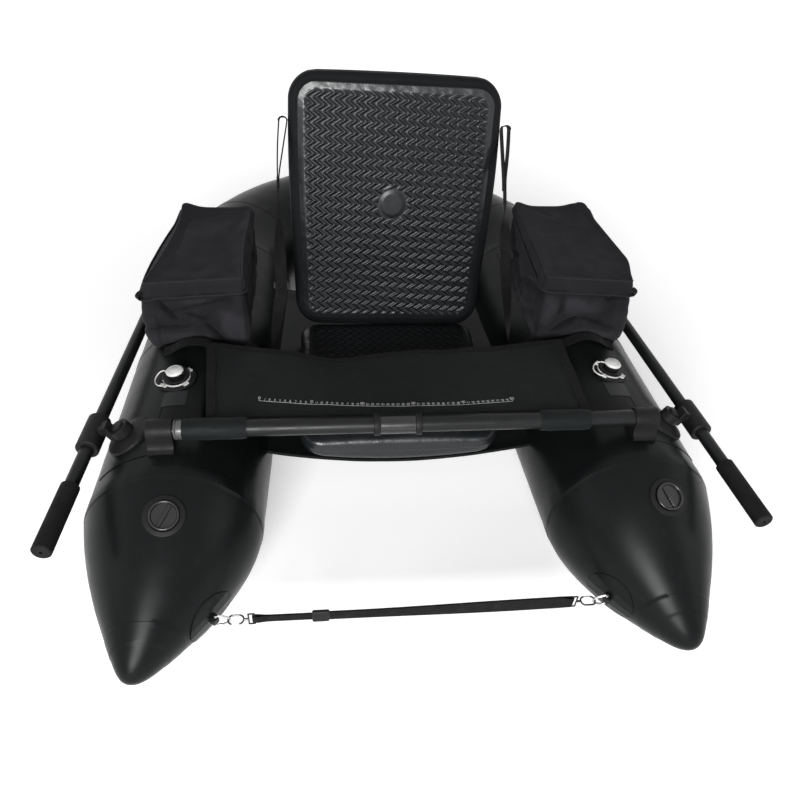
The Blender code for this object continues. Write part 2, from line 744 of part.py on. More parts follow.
# Inflation valves: a turret on a flange, a loose lug ring under it and a screw cap
valve_distance = 0.18
valve_angle = math.radians(7)
valve_sides = 24
flange_radius = 0.038
flange_depth = 0.008
flange_top = 0.003
neck_radius = 0.017
turret_radius = 0.026
ring_thickness = 0.003
turret_base = flange_top + ring_thickness + 2 * touch_gap
turret_top = turret_base + 0.0055
thread_radius = 0.0165
thread_top = turret_top + 0.006
lug_reach = 0.0335
lug_width = 0.011
lug_flare = 1.25
ring_radius = 0.027
cap_radius = 0.0188
cap_top = thread_top + 0.01
for word, side in SIDES:
    place = on_tube(side, valve_distance, valve_angle)
    profile = [(0, -flange_depth), (flange_radius, -flange_depth), (flange_radius, flange_top - soft_edge),
               (flange_radius - soft_edge, flange_top), (neck_radius, flange_top), (neck_radius, turret_base),
               (turret_radius, turret_base), (turret_radius, turret_top - soft_edge),
               (turret_radius - soft_edge, turret_top), (thread_radius, turret_top),
               (thread_radius, thread_top), (0, thread_top)]
    base = finish(word + "_air_valve_base", turned(profile, valve_sides), black_plastic, place)
    combine(base, cutters[side], "DIFFERENCE")
    low = flange_top + touch_gap
    inner = []
    outer = []
    for quarter in range(4):
        middle = math.pi / 4 + math.pi / 2 * quarter
        half = lug_width / 2 / lug_reach
        rest = math.pi / 2 - 2 * lug_flare * half
        lug = [(-lug_flare * half, ring_radius), (-half, lug_reach), (0, lug_reach), (half, lug_reach),
               (lug_flare * half, ring_radius)]
        lug += [(lug_flare * half + rest * step / 4, ring_radius) for step in range(1, 4)]
        for turn, radius in lug:
            arm = Vector((math.cos(middle + turn), math.sin(middle + turn), 0))
            inner.append((neck_radius + running_gap) * arm)
            outer.append(radius * arm)
    rings = [[p + UP * low for p in inner], [p + UP * low for p in outer],
             [p + UP * (low + ring_thickness) for p in outer], [p + UP * (low + ring_thickness) for p in inner]]
    finish(word + "_air_valve_ring", loft(rings, close_ring=True), white_plastic, place)
    profile = [(0, thread_top + touch_gap), (thread_radius + running_gap, thread_top + touch_gap),
               (thread_radius + running_gap, turret_top + running_gap), (cap_radius, turret_top + running_gap),
               (cap_radius, cap_top - 3 * soft_edge), (cap_radius - 3 * soft_edge, cap_top), (0, cap_top)]
    finish(word + "_air_valve_cap", turned(profile, valve_sides), white_plastic, place)

# Dump valves on the bows: a raised ring with a recessed winged cap
dump_ahead = 0.1405
dump_angles = {-1: math.radians(-5), 1: math.radians(7)}
dump_turn = math.radians(20)
dump_radius = 0.035
dump_inner = 0.0262
dump_height = 0.0075
dump_cap_radius = 0.0255
dump_cap_low = 0.0008
dump_cap_top = 0.0038
wing_length = 0.042
wing_width = 0.01
wing_height = 0.0072
for word, side in SIDES:
    place = on_nose(side, dump_ahead, dump_angles[side], dump_turn * side)
    ring = turned([(dump_inner, -flange_depth), (dump_radius, -flange_depth),
                   (dump_radius, dump_height / 3), (dump_radius - 2 * soft_edge, dump_height - soft_edge),
                   (dump_radius - 4 * soft_edge, dump_height), (dump_inner + soft_edge, dump_height),
                   (dump_inner, dump_height - soft_edge)], valve_sides, closed=True)
    ring = finish(word + "_dump_valve_ring", ring, black_plastic, place)
    combine(ring, cutters[side], "DIFFERENCE")
    cap = turned(disc_profile(dump_cap_radius, dump_cap_low, dump_cap_top, soft_edge / 2), valve_sides)
    cap = finish(word + "_dump_valve_cap", cap, black_plastic, place)
    wing = block((wing_length, wing_width, wing_height - dump_cap_low * 2), soft_edge)
    wing.transform(shifted(z=wing_height / 2 + dump_cap_low / 2))
    combine(cap, finish(word + "_dump_wing", wing, black_plastic, place), "UNION")

# Bow strap: a patch with a swinging D-ring inside each bow, a snap hook on each, and a webbing between them
patch_ahead = 0.231
patch_angle = math.radians(-98)
patch_radius = 0.05
patch_thickness = 0.0015
keeper_length = 0.018
keeper_width = 0.014
keeper_height = 0.012
leg_height = 0.0085
d_wire = 0.002
d_leg = 0.034
d_depth = 0.025
hook_wire = 0.0016
hook_half_length = 0.0135
hook_half_width = 0.0085
hook_shank = 0.01
eye_length = 0.01
eye_width = 0.03
gate_share = 0.45
gate_radius = 0.0013
hook_seat = 0.0005
narrow_strap = 0.014
wide_strap = 0.022
bow_strap_thickness = 0.0016
slider_x = -0.17
slider_length = 0.03
slider_height = 0.029
slider_depth = 0.008
hook_ends = {}
for word, side in SIDES:
    place = on_nose(side, patch_ahead, patch_angle)
    patch = finish(word + "_d_ring_patch", turned(disc_profile(patch_radius, -0.03, 0.02, soft_edge), 32),
                   skin, place)
    cover = finish(word + "_patch_cover", loft(hull_sections(side, touch_gap / flat_share + patch_thickness)), skin)
    combine(patch, cover, "INTERSECT")
    keeper = block((keeper_width, keeper_length, keeper_height), 2 * soft_edge)
    keeper.transform(shifted(z=keeper_height / 2))
    combine(patch, finish(word + "_keeper", keeper, skin, place), "UNION")
    combine(patch, cutters[side], "DIFFERENCE")
    leg_bore = turned(disc_profile(d_wire + running_gap, -d_leg, d_leg, soft_edge), 12)
    leg_bore.transform(shifted(z=leg_height) @ Z_TO_Y)
    combine(patch, finish(word + "_leg_bore", leg_bore, skin, place), "DIFFERENCE")
    half = d_leg / 2
    bow_radius = half - d_wire
    straight = [Vector((0, half - d_wire, 0)), Vector((0, half / 3, 0)),
                Vector((0, -half / 3, 0)), Vector((0, -half + d_wire, 0))]
    bow = arc(Vector(), d_depth, half, -80, 80, 10)
    path = [Vector((0, p.y, p.x)) for p in straight + bow]
    # The taut strap holds the ring turned on its leg, straight across the craft
    pull = place.inverted().to_3x3() @ (-side * ACROSS)
    pulled = place @ shifted(z=leg_height) @ Matrix.Rotation(math.atan2(pull.x, pull.z), 4, "Y")
    finish(word + "_d_ring", wire(path, d_wire, normal=ACROSS, closed=True), steel, pulled)
    hook_ends[side] = pulled @ Vector((0, 0, d_depth))

level_y = (hook_ends[-1].y + hook_ends[1].y) / 2
level_z = (hook_ends[-1].z + hook_ends[1].z) / 2
eyes = {}
for word, side in SIDES:
    centre_x = hook_ends[side].x - side * (hook_half_length - hook_wire - d_wire - hook_seat)
    turn = math.pi if side > 0 else 0
    frame = Matrix.Translation((centre_x, level_y, level_z)) @ Matrix.Rotation(turn, 4, "Z")
    gate_reach = hook_half_length * gate_share
    loop = [Vector((-gate_reach, -hook_half_width, 0))]
    loop += arc(Vector((-gate_reach, 0, 0)), hook_half_length - gate_reach, hook_half_width, 270, 90, 8)[1:]
    loop += arc(Vector((gate_reach, 0, 0)), hook_half_length - gate_reach, hook_half_width, 90, -90, 8)
    hook = finish(word + "_snap_hook", wire(loop, hook_wire), steel, frame)
    shank = turned(disc_profile(hook_wire * 1.3, 0, hook_shank, soft_edge / 2), 12)
    shank.transform(shifted(x=hook_half_length - hook_wire / 2) @ Z_TO_X)
    combine(hook, finish(word + "_hook_shank", shank, steel, frame), "UNION")
    near = hook_half_length + hook_shank - hook_wire
    far = near + eye_length
    ring = [Vector((near, 0, -eye_width / 2)), Vector((near, 0, eye_width / 2)),
            Vector((far, 0, eye_width / 2)), Vector((far, 0, -eye_width / 2))]
    eye = wire(ring, hook_wire, normal=ALONG, closed=True)
    combine(hook, finish(word + "_hook_eye", eye, steel, frame), "UNION")
    gate_end = gate_reach - running_gap
    gate = [Vector((-gate_end, -hook_half_width, 0)), Vector((gate_end, -hook_half_width, 0))]
    gate_pin = Vector((gate_end - gate_radius, -hook_half_width, 0))
    pivot(finish(word + "_hook_gate", wire(gate, gate_radius), steel, frame), frame @ gate_pin)
    eyes[side] = frame @ Vector((far, 0, 0))

wrap = hook_wire + bow_strap_thickness / 2 + touch_gap
left_eye = eyes[-1]
right_eye = eyes[1]
lay = bow_strap_thickness / 2 + touch_gap / 2
tail = 0.03


def round_eye(eye, outward):
    """The strap's way around a hook's eye, from the rear layer to the front one."""
    points = []
    for i in range(7):
        turn = math.pi / 2 - math.pi * i / 6
        points.append(eye + Vector((outward * wrap * math.cos(turn), wrap * math.sin(turn), 0)))
    return points


left_path = [left_eye + Vector((tail, lay, 0)), left_eye + Vector((tail / 3, lay, 0))]
left_path += round_eye(left_eye, -1) + [left_eye + Vector((tail / 3, -lay, 0))]
right_path = [right_eye + Vector((-tail / 3, -lay, 0))] + round_eye(right_eye, 1)[::-1]
right_path += [right_eye + Vector((-tail / 3, lay, 0)), right_eye + Vector((-tail, lay, 0))]
slider_place = Vector((slider_x, left_eye.y - lay, left_eye.z))
narrow_end = slider_place - ACROSS * slider_length / 3
wide_end = slider_place + ACROSS * slider_length / 3
middle = [(narrow_end, UP, narrow_strap), (wide_end, UP, wide_strap)]
path = [(p, UP, narrow_strap) for p in left_path] + middle + [(p, UP, wide_strap) for p in right_path]
finish("bow_strap", band(path, bow_strap_thickness), webbing, crease=30)
slider = finish("bow_strap_slider", block((slider_length, slider_depth, slider_height), 2 * soft_edge),
                black_plastic, Matrix.Translation(slider_place))
slot = block((slider_length * 2, bow_strap_thickness + 2 * touch_gap, wide_strap + 2 * touch_gap))
combine(slider, finish("slider_slot", slot, black_plastic, Matrix.Translation(slider_place)), "DIFFERENCE")

# Oarlocks and oars
lock_radius = 0.045
lock_dome = 0.012
post_radius = 0.008
post_head = 0.0115
head_height = 0.0045
swivel_radius = 0.019
swivel_height = 0.0185
arm_start = 0.013
arm_end = 0.027
arm_width = 0.022
axle_radius = 0.006
axle_length = 0.009
clamp_radius = 0.021
clamp_length = 0.078
boss_radius = 0.0105
shaft_wall = 0.0015
grip_radius = 0.0165
grip_length = 0.137
blade_socket = 0.0155
blade_thickness = 0.005
blade_roll = math.radians(25)
blade_neck = 0.036
socket_length = 0.06
shaft_overlap = 0.04
swivel_low = lock_dome + running_gap
swivel_top = swivel_low + swivel_height
for word, side in SIDES:
    foot = on_tube(side, lock_behind_bar, lock_angle)
    profile = [(0, -flange_depth * 2), (lock_radius, -flange_depth * 2), (lock_radius, lock_dome / 4),
               (lock_radius - 2 * soft_edge, lock_dome / 2), (swivel_radius + soft_edge, lock_dome),
               (post_radius, lock_dome), (post_radius, swivel_top + running_gap),
               (post_head, swivel_top + running_gap), (post_head, swivel_top + head_height - soft_edge),
               (post_head - soft_edge, swivel_top + head_height), (0, swivel_top + head_height)]
    base = finish(word + "_oarlock_base", turned(profile, 32), black_plastic, foot)
    combine(base, cutters[side], "DIFFERENCE")

    swing = foot @ Matrix.Rotation(side * oar_swing, 4, "Z")
    ring = turned(tube_profile(post_radius + running_gap, swivel_radius, swivel_low, swivel_top, soft_edge),
                  24, closed=True)
    swivel = finish(word + "_oarlock_swivel", ring, black_plastic, swing)
    arm_low = swivel_low + soft_edge
    arm_high = oar_rise + arm_width / 2
    arm = block((arm_width, arm_end - arm_start, arm_high - arm_low), soft_edge)
    arm.transform(shifted(y=-side * (arm_start + arm_end) / 2, z=(arm_low + arm_high) / 2))
    combine(swivel, finish(word + "_lock_arm", arm, black_plastic, swing), "UNION")
    axle = turned(disc_profile(axle_radius, arm_start + soft_edge, arm_end + axle_length, soft_edge), 20)
    axle.transform(shifted(z=oar_rise) @ Matrix.Rotation(side * math.pi / 2, 4, "X"))
    combine(swivel, finish(word + "_lock_axle", axle, black_plastic, swing), "UNION")

    oar = swing @ shifted(y=-side * oar_arm, z=oar_rise) @ Matrix.Rotation(oar_dip, 4, "Y")
    sleeve = turned(tube_profile(oar_radius + touch_gap, clamp_radius, -clamp_length / 2, clamp_length / 2,
                                 2 * soft_edge), 24, closed=True)
    sleeve.transform(Z_TO_X)
    clamp = finish(word + "_oarlock_clamp", sleeve, black_plastic, oar)
    boss_end = oar_arm - (clamp_radius + oar_radius) / 2
    boss = turned(disc_profile(boss_radius, arm_end + running_gap - oar_arm, boss_end - oar_arm, soft_edge / 2), 20)
    boss.transform(Matrix.Rotation(side * math.pi / 2, 4, "X"))
    combine(clamp, finish(word + "_clamp_boss", boss, black_plastic, oar), "UNION")
    bore = turned(disc_profile(axle_radius + running_gap, 0, arm_end + axle_length + running_gap, soft_edge), 20)
    bore.transform(shifted(y=side * oar_arm) @ Matrix.Rotation(side * math.pi / 2, 4, "X"))
    combine(clamp, finish(word + "_clamp_bore", bore, black_plastic, oar), "DIFFERENCE")

    shaft_start = -oar_front + shaft_overlap / 4
    shaft_end = oar_rear - socket_length + shaft_overlap
    shaft = turned([(oar_radius - shaft_wall, shaft_start), (oar_radius, shaft_start),
                    (oar_radius, shaft_end), (oar_radius - shaft_wall, shaft_end)], 20, closed=True)
    shaft.transform(Z_TO_X)
    finish(word + "_oar_shaft", shaft, black_metal, oar)
    hole = soft_edge * 3
    grip_open = -oar_front + grip_length
    grip = turned([(0, -oar_front + hole), (hole, -oar_front + hole), (hole, -oar_front),
                   (grip_radius - 2 * soft_edge, -oar_front), (grip_radius, -oar_front + 2 * soft_edge),
                   (grip_radius, grip_open - soft_edge), (grip_radius - soft_edge, grip_open),
                   (oar_radius + touch_gap, grip_open), (oar_radius + touch_gap, shaft_start - touch_gap),
                   (0, shaft_start - touch_gap)], 24)
    grip.transform(Z_TO_X)
    finish(word + "_oar_grip", grip, rubber, oar)

    socket = turned([(0, oar_rear + soft_edge * 8), (blade_socket / 2, oar_rear + soft_edge * 6),
                     (blade_socket, oar_rear - socket_length / 4), (blade_socket, oar_rear - socket_length),
                     (oar_radius + touch_gap, oar_rear - socket_length),
                     (oar_radius + touch_gap, shaft_end + touch_gap), (0, shaft_end + touch_gap)], 20)
    socket.transform(Z_TO_X)
    blade = finish(word + "_oar_blade", socket, black_plastic, oar)
    roll = oar @ Matrix.Rotation(side * blade_roll, 4, "X")
    start = oar_rear - socket_length / 8
    outline = [(0, -blade_neck / 2), (0.1, -blade_width * 0.36), (0.28, -blade_width * 0.47),
               (0.6, -blade_width * 0.5), (0.88, -blade_width * 0.46), (0.97, -blade_width * 0.36),
               (1, -blade_width * 0.2)]
    outline += [(share, -across) for share, across in reversed(outline)]
    ends = []
    for z in (-blade_thickness / 2, blade_thickness / 2):
        ends.append([Vector((start + blade_length * share, across, z)) for share, across in outline])
    combine(blade, finish(word + "_blade_plate", loft(ends), black_plastic, roll), "UNION")
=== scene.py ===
# %% [markdown]
# # A float tube, dressed
#
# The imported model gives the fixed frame: every body, joint and place. This script puts the looks on it, in metres and
# in the same frame. The bows point to -Y, +Z is up, and the rider sits facing the bows.
# The order is frame, camera and light, materials, and then one piece after another, from the hull to the fittings.

# %%
import math

import bmesh
import bpy
import numpy as np
from mathutils import Matrix, Vector, noise


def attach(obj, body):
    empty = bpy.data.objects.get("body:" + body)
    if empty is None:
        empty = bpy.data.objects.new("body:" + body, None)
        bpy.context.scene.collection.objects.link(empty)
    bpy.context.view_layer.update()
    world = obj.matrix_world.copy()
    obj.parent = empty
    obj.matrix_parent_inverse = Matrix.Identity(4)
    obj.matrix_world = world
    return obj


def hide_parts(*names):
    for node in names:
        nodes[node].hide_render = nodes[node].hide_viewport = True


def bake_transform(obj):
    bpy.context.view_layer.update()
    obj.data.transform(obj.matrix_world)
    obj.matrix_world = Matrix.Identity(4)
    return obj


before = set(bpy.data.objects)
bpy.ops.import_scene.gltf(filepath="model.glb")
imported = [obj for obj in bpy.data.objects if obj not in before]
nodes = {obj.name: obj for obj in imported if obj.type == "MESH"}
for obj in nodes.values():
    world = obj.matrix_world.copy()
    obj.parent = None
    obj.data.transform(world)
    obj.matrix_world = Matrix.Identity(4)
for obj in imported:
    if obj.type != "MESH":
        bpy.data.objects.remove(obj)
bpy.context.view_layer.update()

# %% [markdown]
# ## Camera
#
# The camera stands where the photograph was taken from, as far as that can be told. It could be set by eye, but a fit
# to points of the tubes, the bar, the backrest and the ruler brings all of them to within a few pixels. It looks down
# by about 41 degrees from in front of the bows.

# %%
BAR_Y = -0.475497
YAW, PITCH, ROLL = 0.14598, 0.72145, 0.07471
LENS, SENSOR = 32.84, 36
eye = Vector((-0.16355, -1.42892, 1.25759))
ahead = Vector((math.sin(YAW) * math.cos(PITCH), math.cos(YAW) * math.cos(PITCH), -math.sin(PITCH)))
level = Vector((math.cos(YAW), -math.sin(YAW), 0))
upright = level.cross(ahead)
right = math.cos(ROLL) * level + math.sin(ROLL) * upright
above = -math.sin(ROLL) * level + math.cos(ROLL) * upright

camera_data = bpy.data.cameras.new("camera")
camera_data.sensor_width = SENSOR
camera_data.lens = LENS
camera = bpy.data.objects.new("camera", camera_data)
turn = Matrix((right, above, -ahead)).transposed().to_4x4()
camera.matrix_world = Matrix.Translation(eye) @ turn
bpy.context.scene.collection.objects.link(camera)
bpy.context.scene.camera = camera
bpy.context.scene.view_settings.view_transform = "Standard"
print("camera", [round(v, 3) for v in camera.location], "lens", camera_data.lens)

# %% [markdown]
# ## White room
#
# The photograph's ground is plain white. A curved backdrop would need lamps of its own, so the world itself is white:
# full where the camera or a reflection meets it, and weak as a light, which keeps the shadows.

# %%
def camera_or_mirror(tree):
    """1 for what the camera sees, directly, in a reflection or through glass."""
    path = tree.nodes.new("ShaderNodeLightPath")
    total = path.outputs["Is Camera Ray"]
    for name in ("Is Glossy Ray", "Is Transmission Ray"):
        either = tree.nodes.new("ShaderNodeMath")
        either.operation = "MAXIMUM"
        tree.links.new(total, either.inputs[0])
        tree.links.new(path.outputs[name], either.inputs[1])
        total = either.outputs["Value"]
    return total


world = bpy.data.worlds.new("white_room")
world.use_nodes = True
bpy.context.scene.world = world
sky = world.node_tree.nodes["Background"]
strength = world.node_tree.nodes.new("ShaderNodeMapRange")
strength.inputs["To Min"].default_value = 0.12
strength.inputs["To Max"].default_value = 1.0
world.node_tree.links.new(camera_or_mirror(world.node_tree), strength.inputs["Value"])
world.node_tree.links.new(strength.outputs["Result"], sky.inputs["Strength"])
sky.inputs["Color"].default_value = (1, 1, 1, 1)

print("world", world.name)

# %% [markdown]
# ## Floor
#
# A pale floor catches the shadows. If it were only lit it would turn grey further out, so it also glows for the
# camera, more with the distance. It is stage and no part of the craft.

# %%
floor_paint = bpy.data.materials.new("pale_floor")
floor_paint.use_nodes = True
tree = floor_paint.node_tree
paint = tree.nodes["Principled BSDF"]
for key, value in (("Base Color", (0.82, 0.82, 0.82, 1)), ("Roughness", 0.9), ("Specular IOR Level", 0.1),
                   ("Emission Color", (1, 1, 1, 1))):
    paint.inputs[key].default_value = value
place = tree.nodes.new("ShaderNodeTexCoord")
reach = tree.nodes.new("ShaderNodeVectorMath")
reach.operation = "LENGTH"
tree.links.new(place.outputs["Object"], reach.inputs[0])
far = tree.nodes.new("ShaderNodeMapRange")
for key, number in (("From Min", 0.5), ("From Max", 2.2), ("To Min", 0.5), ("To Max", 0.95)):
    far.inputs[key].default_value = number
tree.links.new(reach.outputs["Value"], far.inputs["Value"])
lift = tree.nodes.new("ShaderNodeMath")
lift.operation = "MULTIPLY"
tree.links.new(camera_or_mirror(tree), lift.inputs[0])
tree.links.new(far.outputs["Result"], lift.inputs[1])
tree.links.new(lift.outputs["Value"], paint.inputs["Emission Strength"])

bm = bmesh.new()
bmesh.ops.create_grid(bm, x_segments=1, y_segments=1, size=30)
floor_mesh = bpy.data.meshes.new("floor")
bm.to_mesh(floor_mesh)
bm.free()
floor_mesh.materials.append(floor_paint)
floor = bpy.data.objects.new("floor", floor_mesh)
floor.location.z = -0.0006
bpy.context.scene.collection.objects.link(floor)
print("floor", floor_paint.name)

# %% [markdown]
# ## Lamps
#
# Sun and small lamps throw hard shadows, which the photograph hasn't. One large soft lamp stands in front of the bows
# and above the camera, as the highlights on the bow tips, the seat's front edge and the backrest's border show. Two
# weak ones fill in from the sides.

# %%
def lamp(name, place, target, size, power):
    """A square area lamp that faces its target."""
    data = bpy.data.lights.new(name, "AREA")
    data.size = size
    data.energy = power
    piece = bpy.data.objects.new(name, data)
    piece.location = place
    piece.rotation_euler = (Vector(target) - Vector(place)).to_track_quat("-Z", "Y").to_euler()
    bpy.context.scene.collection.objects.link(piece)


lamp("key", (-0.7, -3.7, 1.75), (0, -0.2, 0.2), 1.3, 170)
lamp("fill_left", (-3.2, -1.2, 1.9), (0, 0, 0.2), 1.8, 7)
lamp("fill_right", (3.2, -1.4, 1.9), (0, 0, 0.2), 1.8, 12)
print("three lamps")

# %% [markdown]
# ## Material writer
#
# Each material is a small node tree. Painted textures would blur from near by, so all variation comes from noise and
# waves. `Look` keeps a shader, and adds mottles, roughness and bumps to it one after another. Patterns run on object
# coordinates, or on a piece's own map in metres where a weave has to follow a strap or a seam.

# %%
class Look:
    """A material with its shader, to which variation and relief are added in turn."""

    def __init__(self, name, colour, roughness, **sockets):
        self.material = bpy.data.materials.new(name)
        self.material.use_nodes = True
        self.tree = self.material.node_tree
        self.shader = self.tree.nodes["Principled BSDF"]
        self.colour = (*colour, 1)
        self.shader.inputs["Base Color"].default_value = self.colour
        self.shader.inputs["Roughness"].default_value = roughness
        for socket, value in sockets.items():
            self.shader.inputs[socket.replace("_", " ")].default_value = value
        self.material.diffuse_color = self.colour
        self.last_colour = None
        self.last_normal = None

    def add(self, kind, **settings):
        """A new node of this kind."""
        node = self.tree.nodes.new("ShaderNode" + kind)
        for key, value in settings.items():
            setattr(node, key, value)
        return node

    def join(self, out, into):
        """Links an output to an input."""
        self.tree.links.new(out, into)

    def coordinates(self, scale=(1, 1, 1), space="Object", turned=0.0):
        """Coordinates in metres, stretched by scale: of the object, or of the piece's own map."""
        source = self.add("UVMap", uv_map="cloth") if space == "UV" else self.add("TexCoord")
        mapping = self.add("Mapping")
        mapping.inputs["Scale"].default_value = scale
        mapping.inputs["Rotation"].default_value = (0, 0, turned)
        self.join(source.outputs["UV" if space == "UV" else space], mapping.inputs["Vector"])
        return mapping.outputs["Vector"]

    def noise(self, scale, detail=3, stretch=(1, 1, 1), space="Object", rough=0.5):
        """Noise between 0 and 1, with features about 1 / scale metres wide."""
        node = self.add("TexNoise")
        node.inputs["Scale"].default_value = scale
        node.inputs["Detail"].default_value = detail
        node.inputs["Roughness"].default_value = rough
        self.join(self.coordinates(stretch, space), node.inputs["Vector"])
        return node.outputs["Fac"]

    def span(self, value, low, high, to_low=0.0, to_high=1.0):
        """The value with low to high spread over to_low to to_high."""
        node = self.add("MapRange")
        for key, number in (("From Min", low), ("From Max", high), ("To Min", to_low), ("To Max", to_high)):
            node.inputs[key].default_value = number
        self.join(value, node.inputs["Value"])
        return node.outputs["Result"]

    def math(self, operation, first, second=None):
        """A sum, product or function of numbers or outputs."""
        node = self.add("Math", operation=operation)
        for i, value in enumerate((first, second)):
            if value is None:
                continue
            if isinstance(value, (int, float)):
                node.inputs[i].default_value = value
            else:
                self.join(value, node.inputs[i])
        return node.outputs["Value"]

    def axes(self, vector):
        """The three parts of a vector."""
        node = self.add("SeparateXYZ")
        self.join(vector, node.inputs["Vector"])
        return node.outputs

    def tint(self, amount, colour):
        """Mixes a second colour in where amount is high."""
        node = self.add("MixRGB")
        if self.last_colour is None:
            node.inputs["Color1"].default_value = self.colour
        else:
            self.join(self.last_colour, node.inputs["Color1"])
        node.inputs["Color2"].default_value = (*colour, 1)
        self.join(amount, node.inputs["Fac"])
        self.last_colour = node.outputs["Color"]
        self.join(self.last_colour, self.shader.inputs["Base Color"])
        return self

    def rough(self, amount, low, high):
        """Roughness from low to high, where the amount goes from 0.3 to 0.7."""
        self.join(self.span(amount, 0.3, 0.7, low, high), self.shader.inputs["Roughness"])
        return self

    def bump(self, height, distance, strength=1.0):
        """Relief this high, over the relief that is there already."""
        node = self.add("Bump")
        node.inputs["Distance"].default_value = distance
        node.inputs["Strength"].default_value = strength
        self.join(height, node.inputs["Height"])
        if self.last_normal is not None:
            self.join(self.last_normal, node.inputs["Normal"])
        self.last_normal = node.outputs["Normal"]
        self.join(self.last_normal, self.shader.inputs["Normal"])
        return self

    def mottle(self, scale, detail, low, high, amount, colour, rough=0.5):
        """Blotches of a second colour, where a noise rises from low to high."""
        return self.tint(self.span(self.noise(scale, detail, rough=rough), low, high, 0, amount), colour)

    def vary(self, scale, detail, low, high):
        """A roughness that wanders between low and high."""
        return self.rough(self.noise(scale, detail), low, high)

    def grain(self, scale, detail, distance, strength):
        """Small unevenness, this high."""
        return self.bump(self.noise(scale, detail), distance, strength)

    def woven(self, period, distance, strength, space="UV"):
        """Over-and-under threads of this period."""
        x, y, _ = self.axes(self.coordinates((math.tau / period,) * 3, space))
        over = self.math("MULTIPLY", self.math("SINE", x), self.math("SINE", y))
        return self.bump(self.span(over, -1, 1), distance, strength)


print("material writer ready")

# %% [markdown]
# ## Fabrics and skins
#
# The whole craft is black, so what tells its materials apart is sheen and relief: coated tube skin with a faint
# scrim, matt Oxford nylon, pressed foam that is smooth on its border and dull on its sides. Plain black would merge
# them. Light and shade are painted in as well: highlight on the nylon's crease ridges and on a lighter copy of the
# foam for the border, shade in the nylon's grooves and on a darker copy of the foam for the sides and the seat's face.
# A low IOR with a strong specular level keeps the lamp's highlights and stops the white room from greying edges.

# %%
skin = (Look("coated_skin", (0.0052, 0.006, 0.0062), 0.3, IOR=1.13, Specular_IOR_Level=1.0)
        .mottle(7, 4, 0.45, 0.8, 0.6, (0.0095, 0.0105, 0.0105))
        .mottle(38, 6, 0.6, 0.8, 0.4, (0.024, 0.024, 0.0235), 0.7)
        .vary(16, 5, 0.26, 0.36)
        .grain(5, 2, 0.004, 0.35)
        .woven(0.0017, 0.00012, 0.35, "Object")
        .grain(900, 2, 0.0001, 0.25).material)
patch = (Look("glued_patch", (0.014, 0.015, 0.0165), 0.34, IOR=1.3, Specular_IOR_Level=0.5)
         .mottle(30, 4, 0.45, 0.8, 0.6, (0.02, 0.021, 0.0225))
         .vary(60, 4, 0.28, 0.42)
         .woven(0.0014, 0.00012, 0.4, "Object").material)


def nylon_look():
    """Nylon with painted highlight on its folds' ridges and painted shade in their grooves."""
    look = Look("oxford_nylon", (0.0125, 0.0118, 0.0138), 0.78, IOR=1.16, Specular_IOR_Level=0.7, Sheen_Weight=0.05,
                Sheen_Roughness=0.45, Sheen_Tint=(0.75, 0.72, 0.8, 1))
    look.mottle(9, 5, 0.42, 0.75, 0.6, (0.02, 0.0185, 0.0218))
    look.mottle(60, 6, 0.6, 0.85, 0.35, (0.052, 0.049, 0.055), 0.7)
    folds = look.add("Attribute", attribute_name="fold").outputs["Fac"]
    # Painted highlight where the fold value is high, painted shade where it is low.
    look.tint(look.span(folds, 0.001, 0.006, 0, 0.6), (0.036, 0.034, 0.039))
    look.tint(look.span(folds, -0.001, -0.007, 0, 0.8), (0.0035, 0.0034, 0.004))
    return look.vary(30, 3, 0.72, 0.9).grain(14, 4, 0.006, 0.3).woven(0.0016, 0.0005, 0.55).material


nylon = nylon_look()
cloth = (Look("apron_taffeta", (0.0058, 0.0072, 0.0074), 0.6, IOR=1.16, Specular_IOR_Level=0.7, Sheen_Weight=0.03,
              Sheen_Roughness=0.5)
         .mottle(6, 4, 0.4, 0.75, 0.6, (0.009, 0.011, 0.0114))
         .mottle(50, 6, 0.6, 0.82, 0.35, (0.03, 0.033, 0.034), 0.7)
         .vary(22, 4, 0.5, 0.7)
         .grain(11, 4, 0.005, 0.35)
         .woven(0.0013, 0.0003, 0.5).material)
foam = (Look("pressed_foam", (0.0066, 0.0078, 0.0092), 0.3, IOR=1.35, Specular_IOR_Level=0.42)
        .mottle(10, 4, 0.4, 0.75, 0.5, (0.0125, 0.0145, 0.0165))
        .vary(26, 4, 0.27, 0.4)
        .grain(700, 3, 0.0003, 0.35)
        .grain(60, 3, 0.0012, 0.25).material)
# A darker, duller copy of the foam: painted shade on the backrest's sides and on the seat's face and border.
dull_foam_shade = (Look("dull_foam_shade", (0.0042, 0.0046, 0.0052), 0.56, IOR=1.16, Specular_IOR_Level=0.8)
             .mottle(14, 4, 0.4, 0.75, 0.5, (0.0075, 0.008, 0.009))
             .vary(26, 4, 0.52, 0.7)
             .grain(700, 3, 0.0002, 0.35)
             .grain(40, 3, 0.0012, 0.25).material)
# A lighter, glossier copy of the foam: painted highlight on the backrest's border and on the seat's sides and rolled
# front edge.
foam_lip_highlight = (Look("foam_lip_highlight", (0.009, 0.0105, 0.012), 0.28, IOR=1.45, Specular_IOR_Level=0.5)
            .mottle(12, 4, 0.4, 0.75, 0.5, (0.016, 0.018, 0.02))
            .vary(26, 4, 0.22, 0.36)
            .grain(700, 3, 0.0002, 0.3)
            .grain(45, 3, 0.0025, 0.4).material)


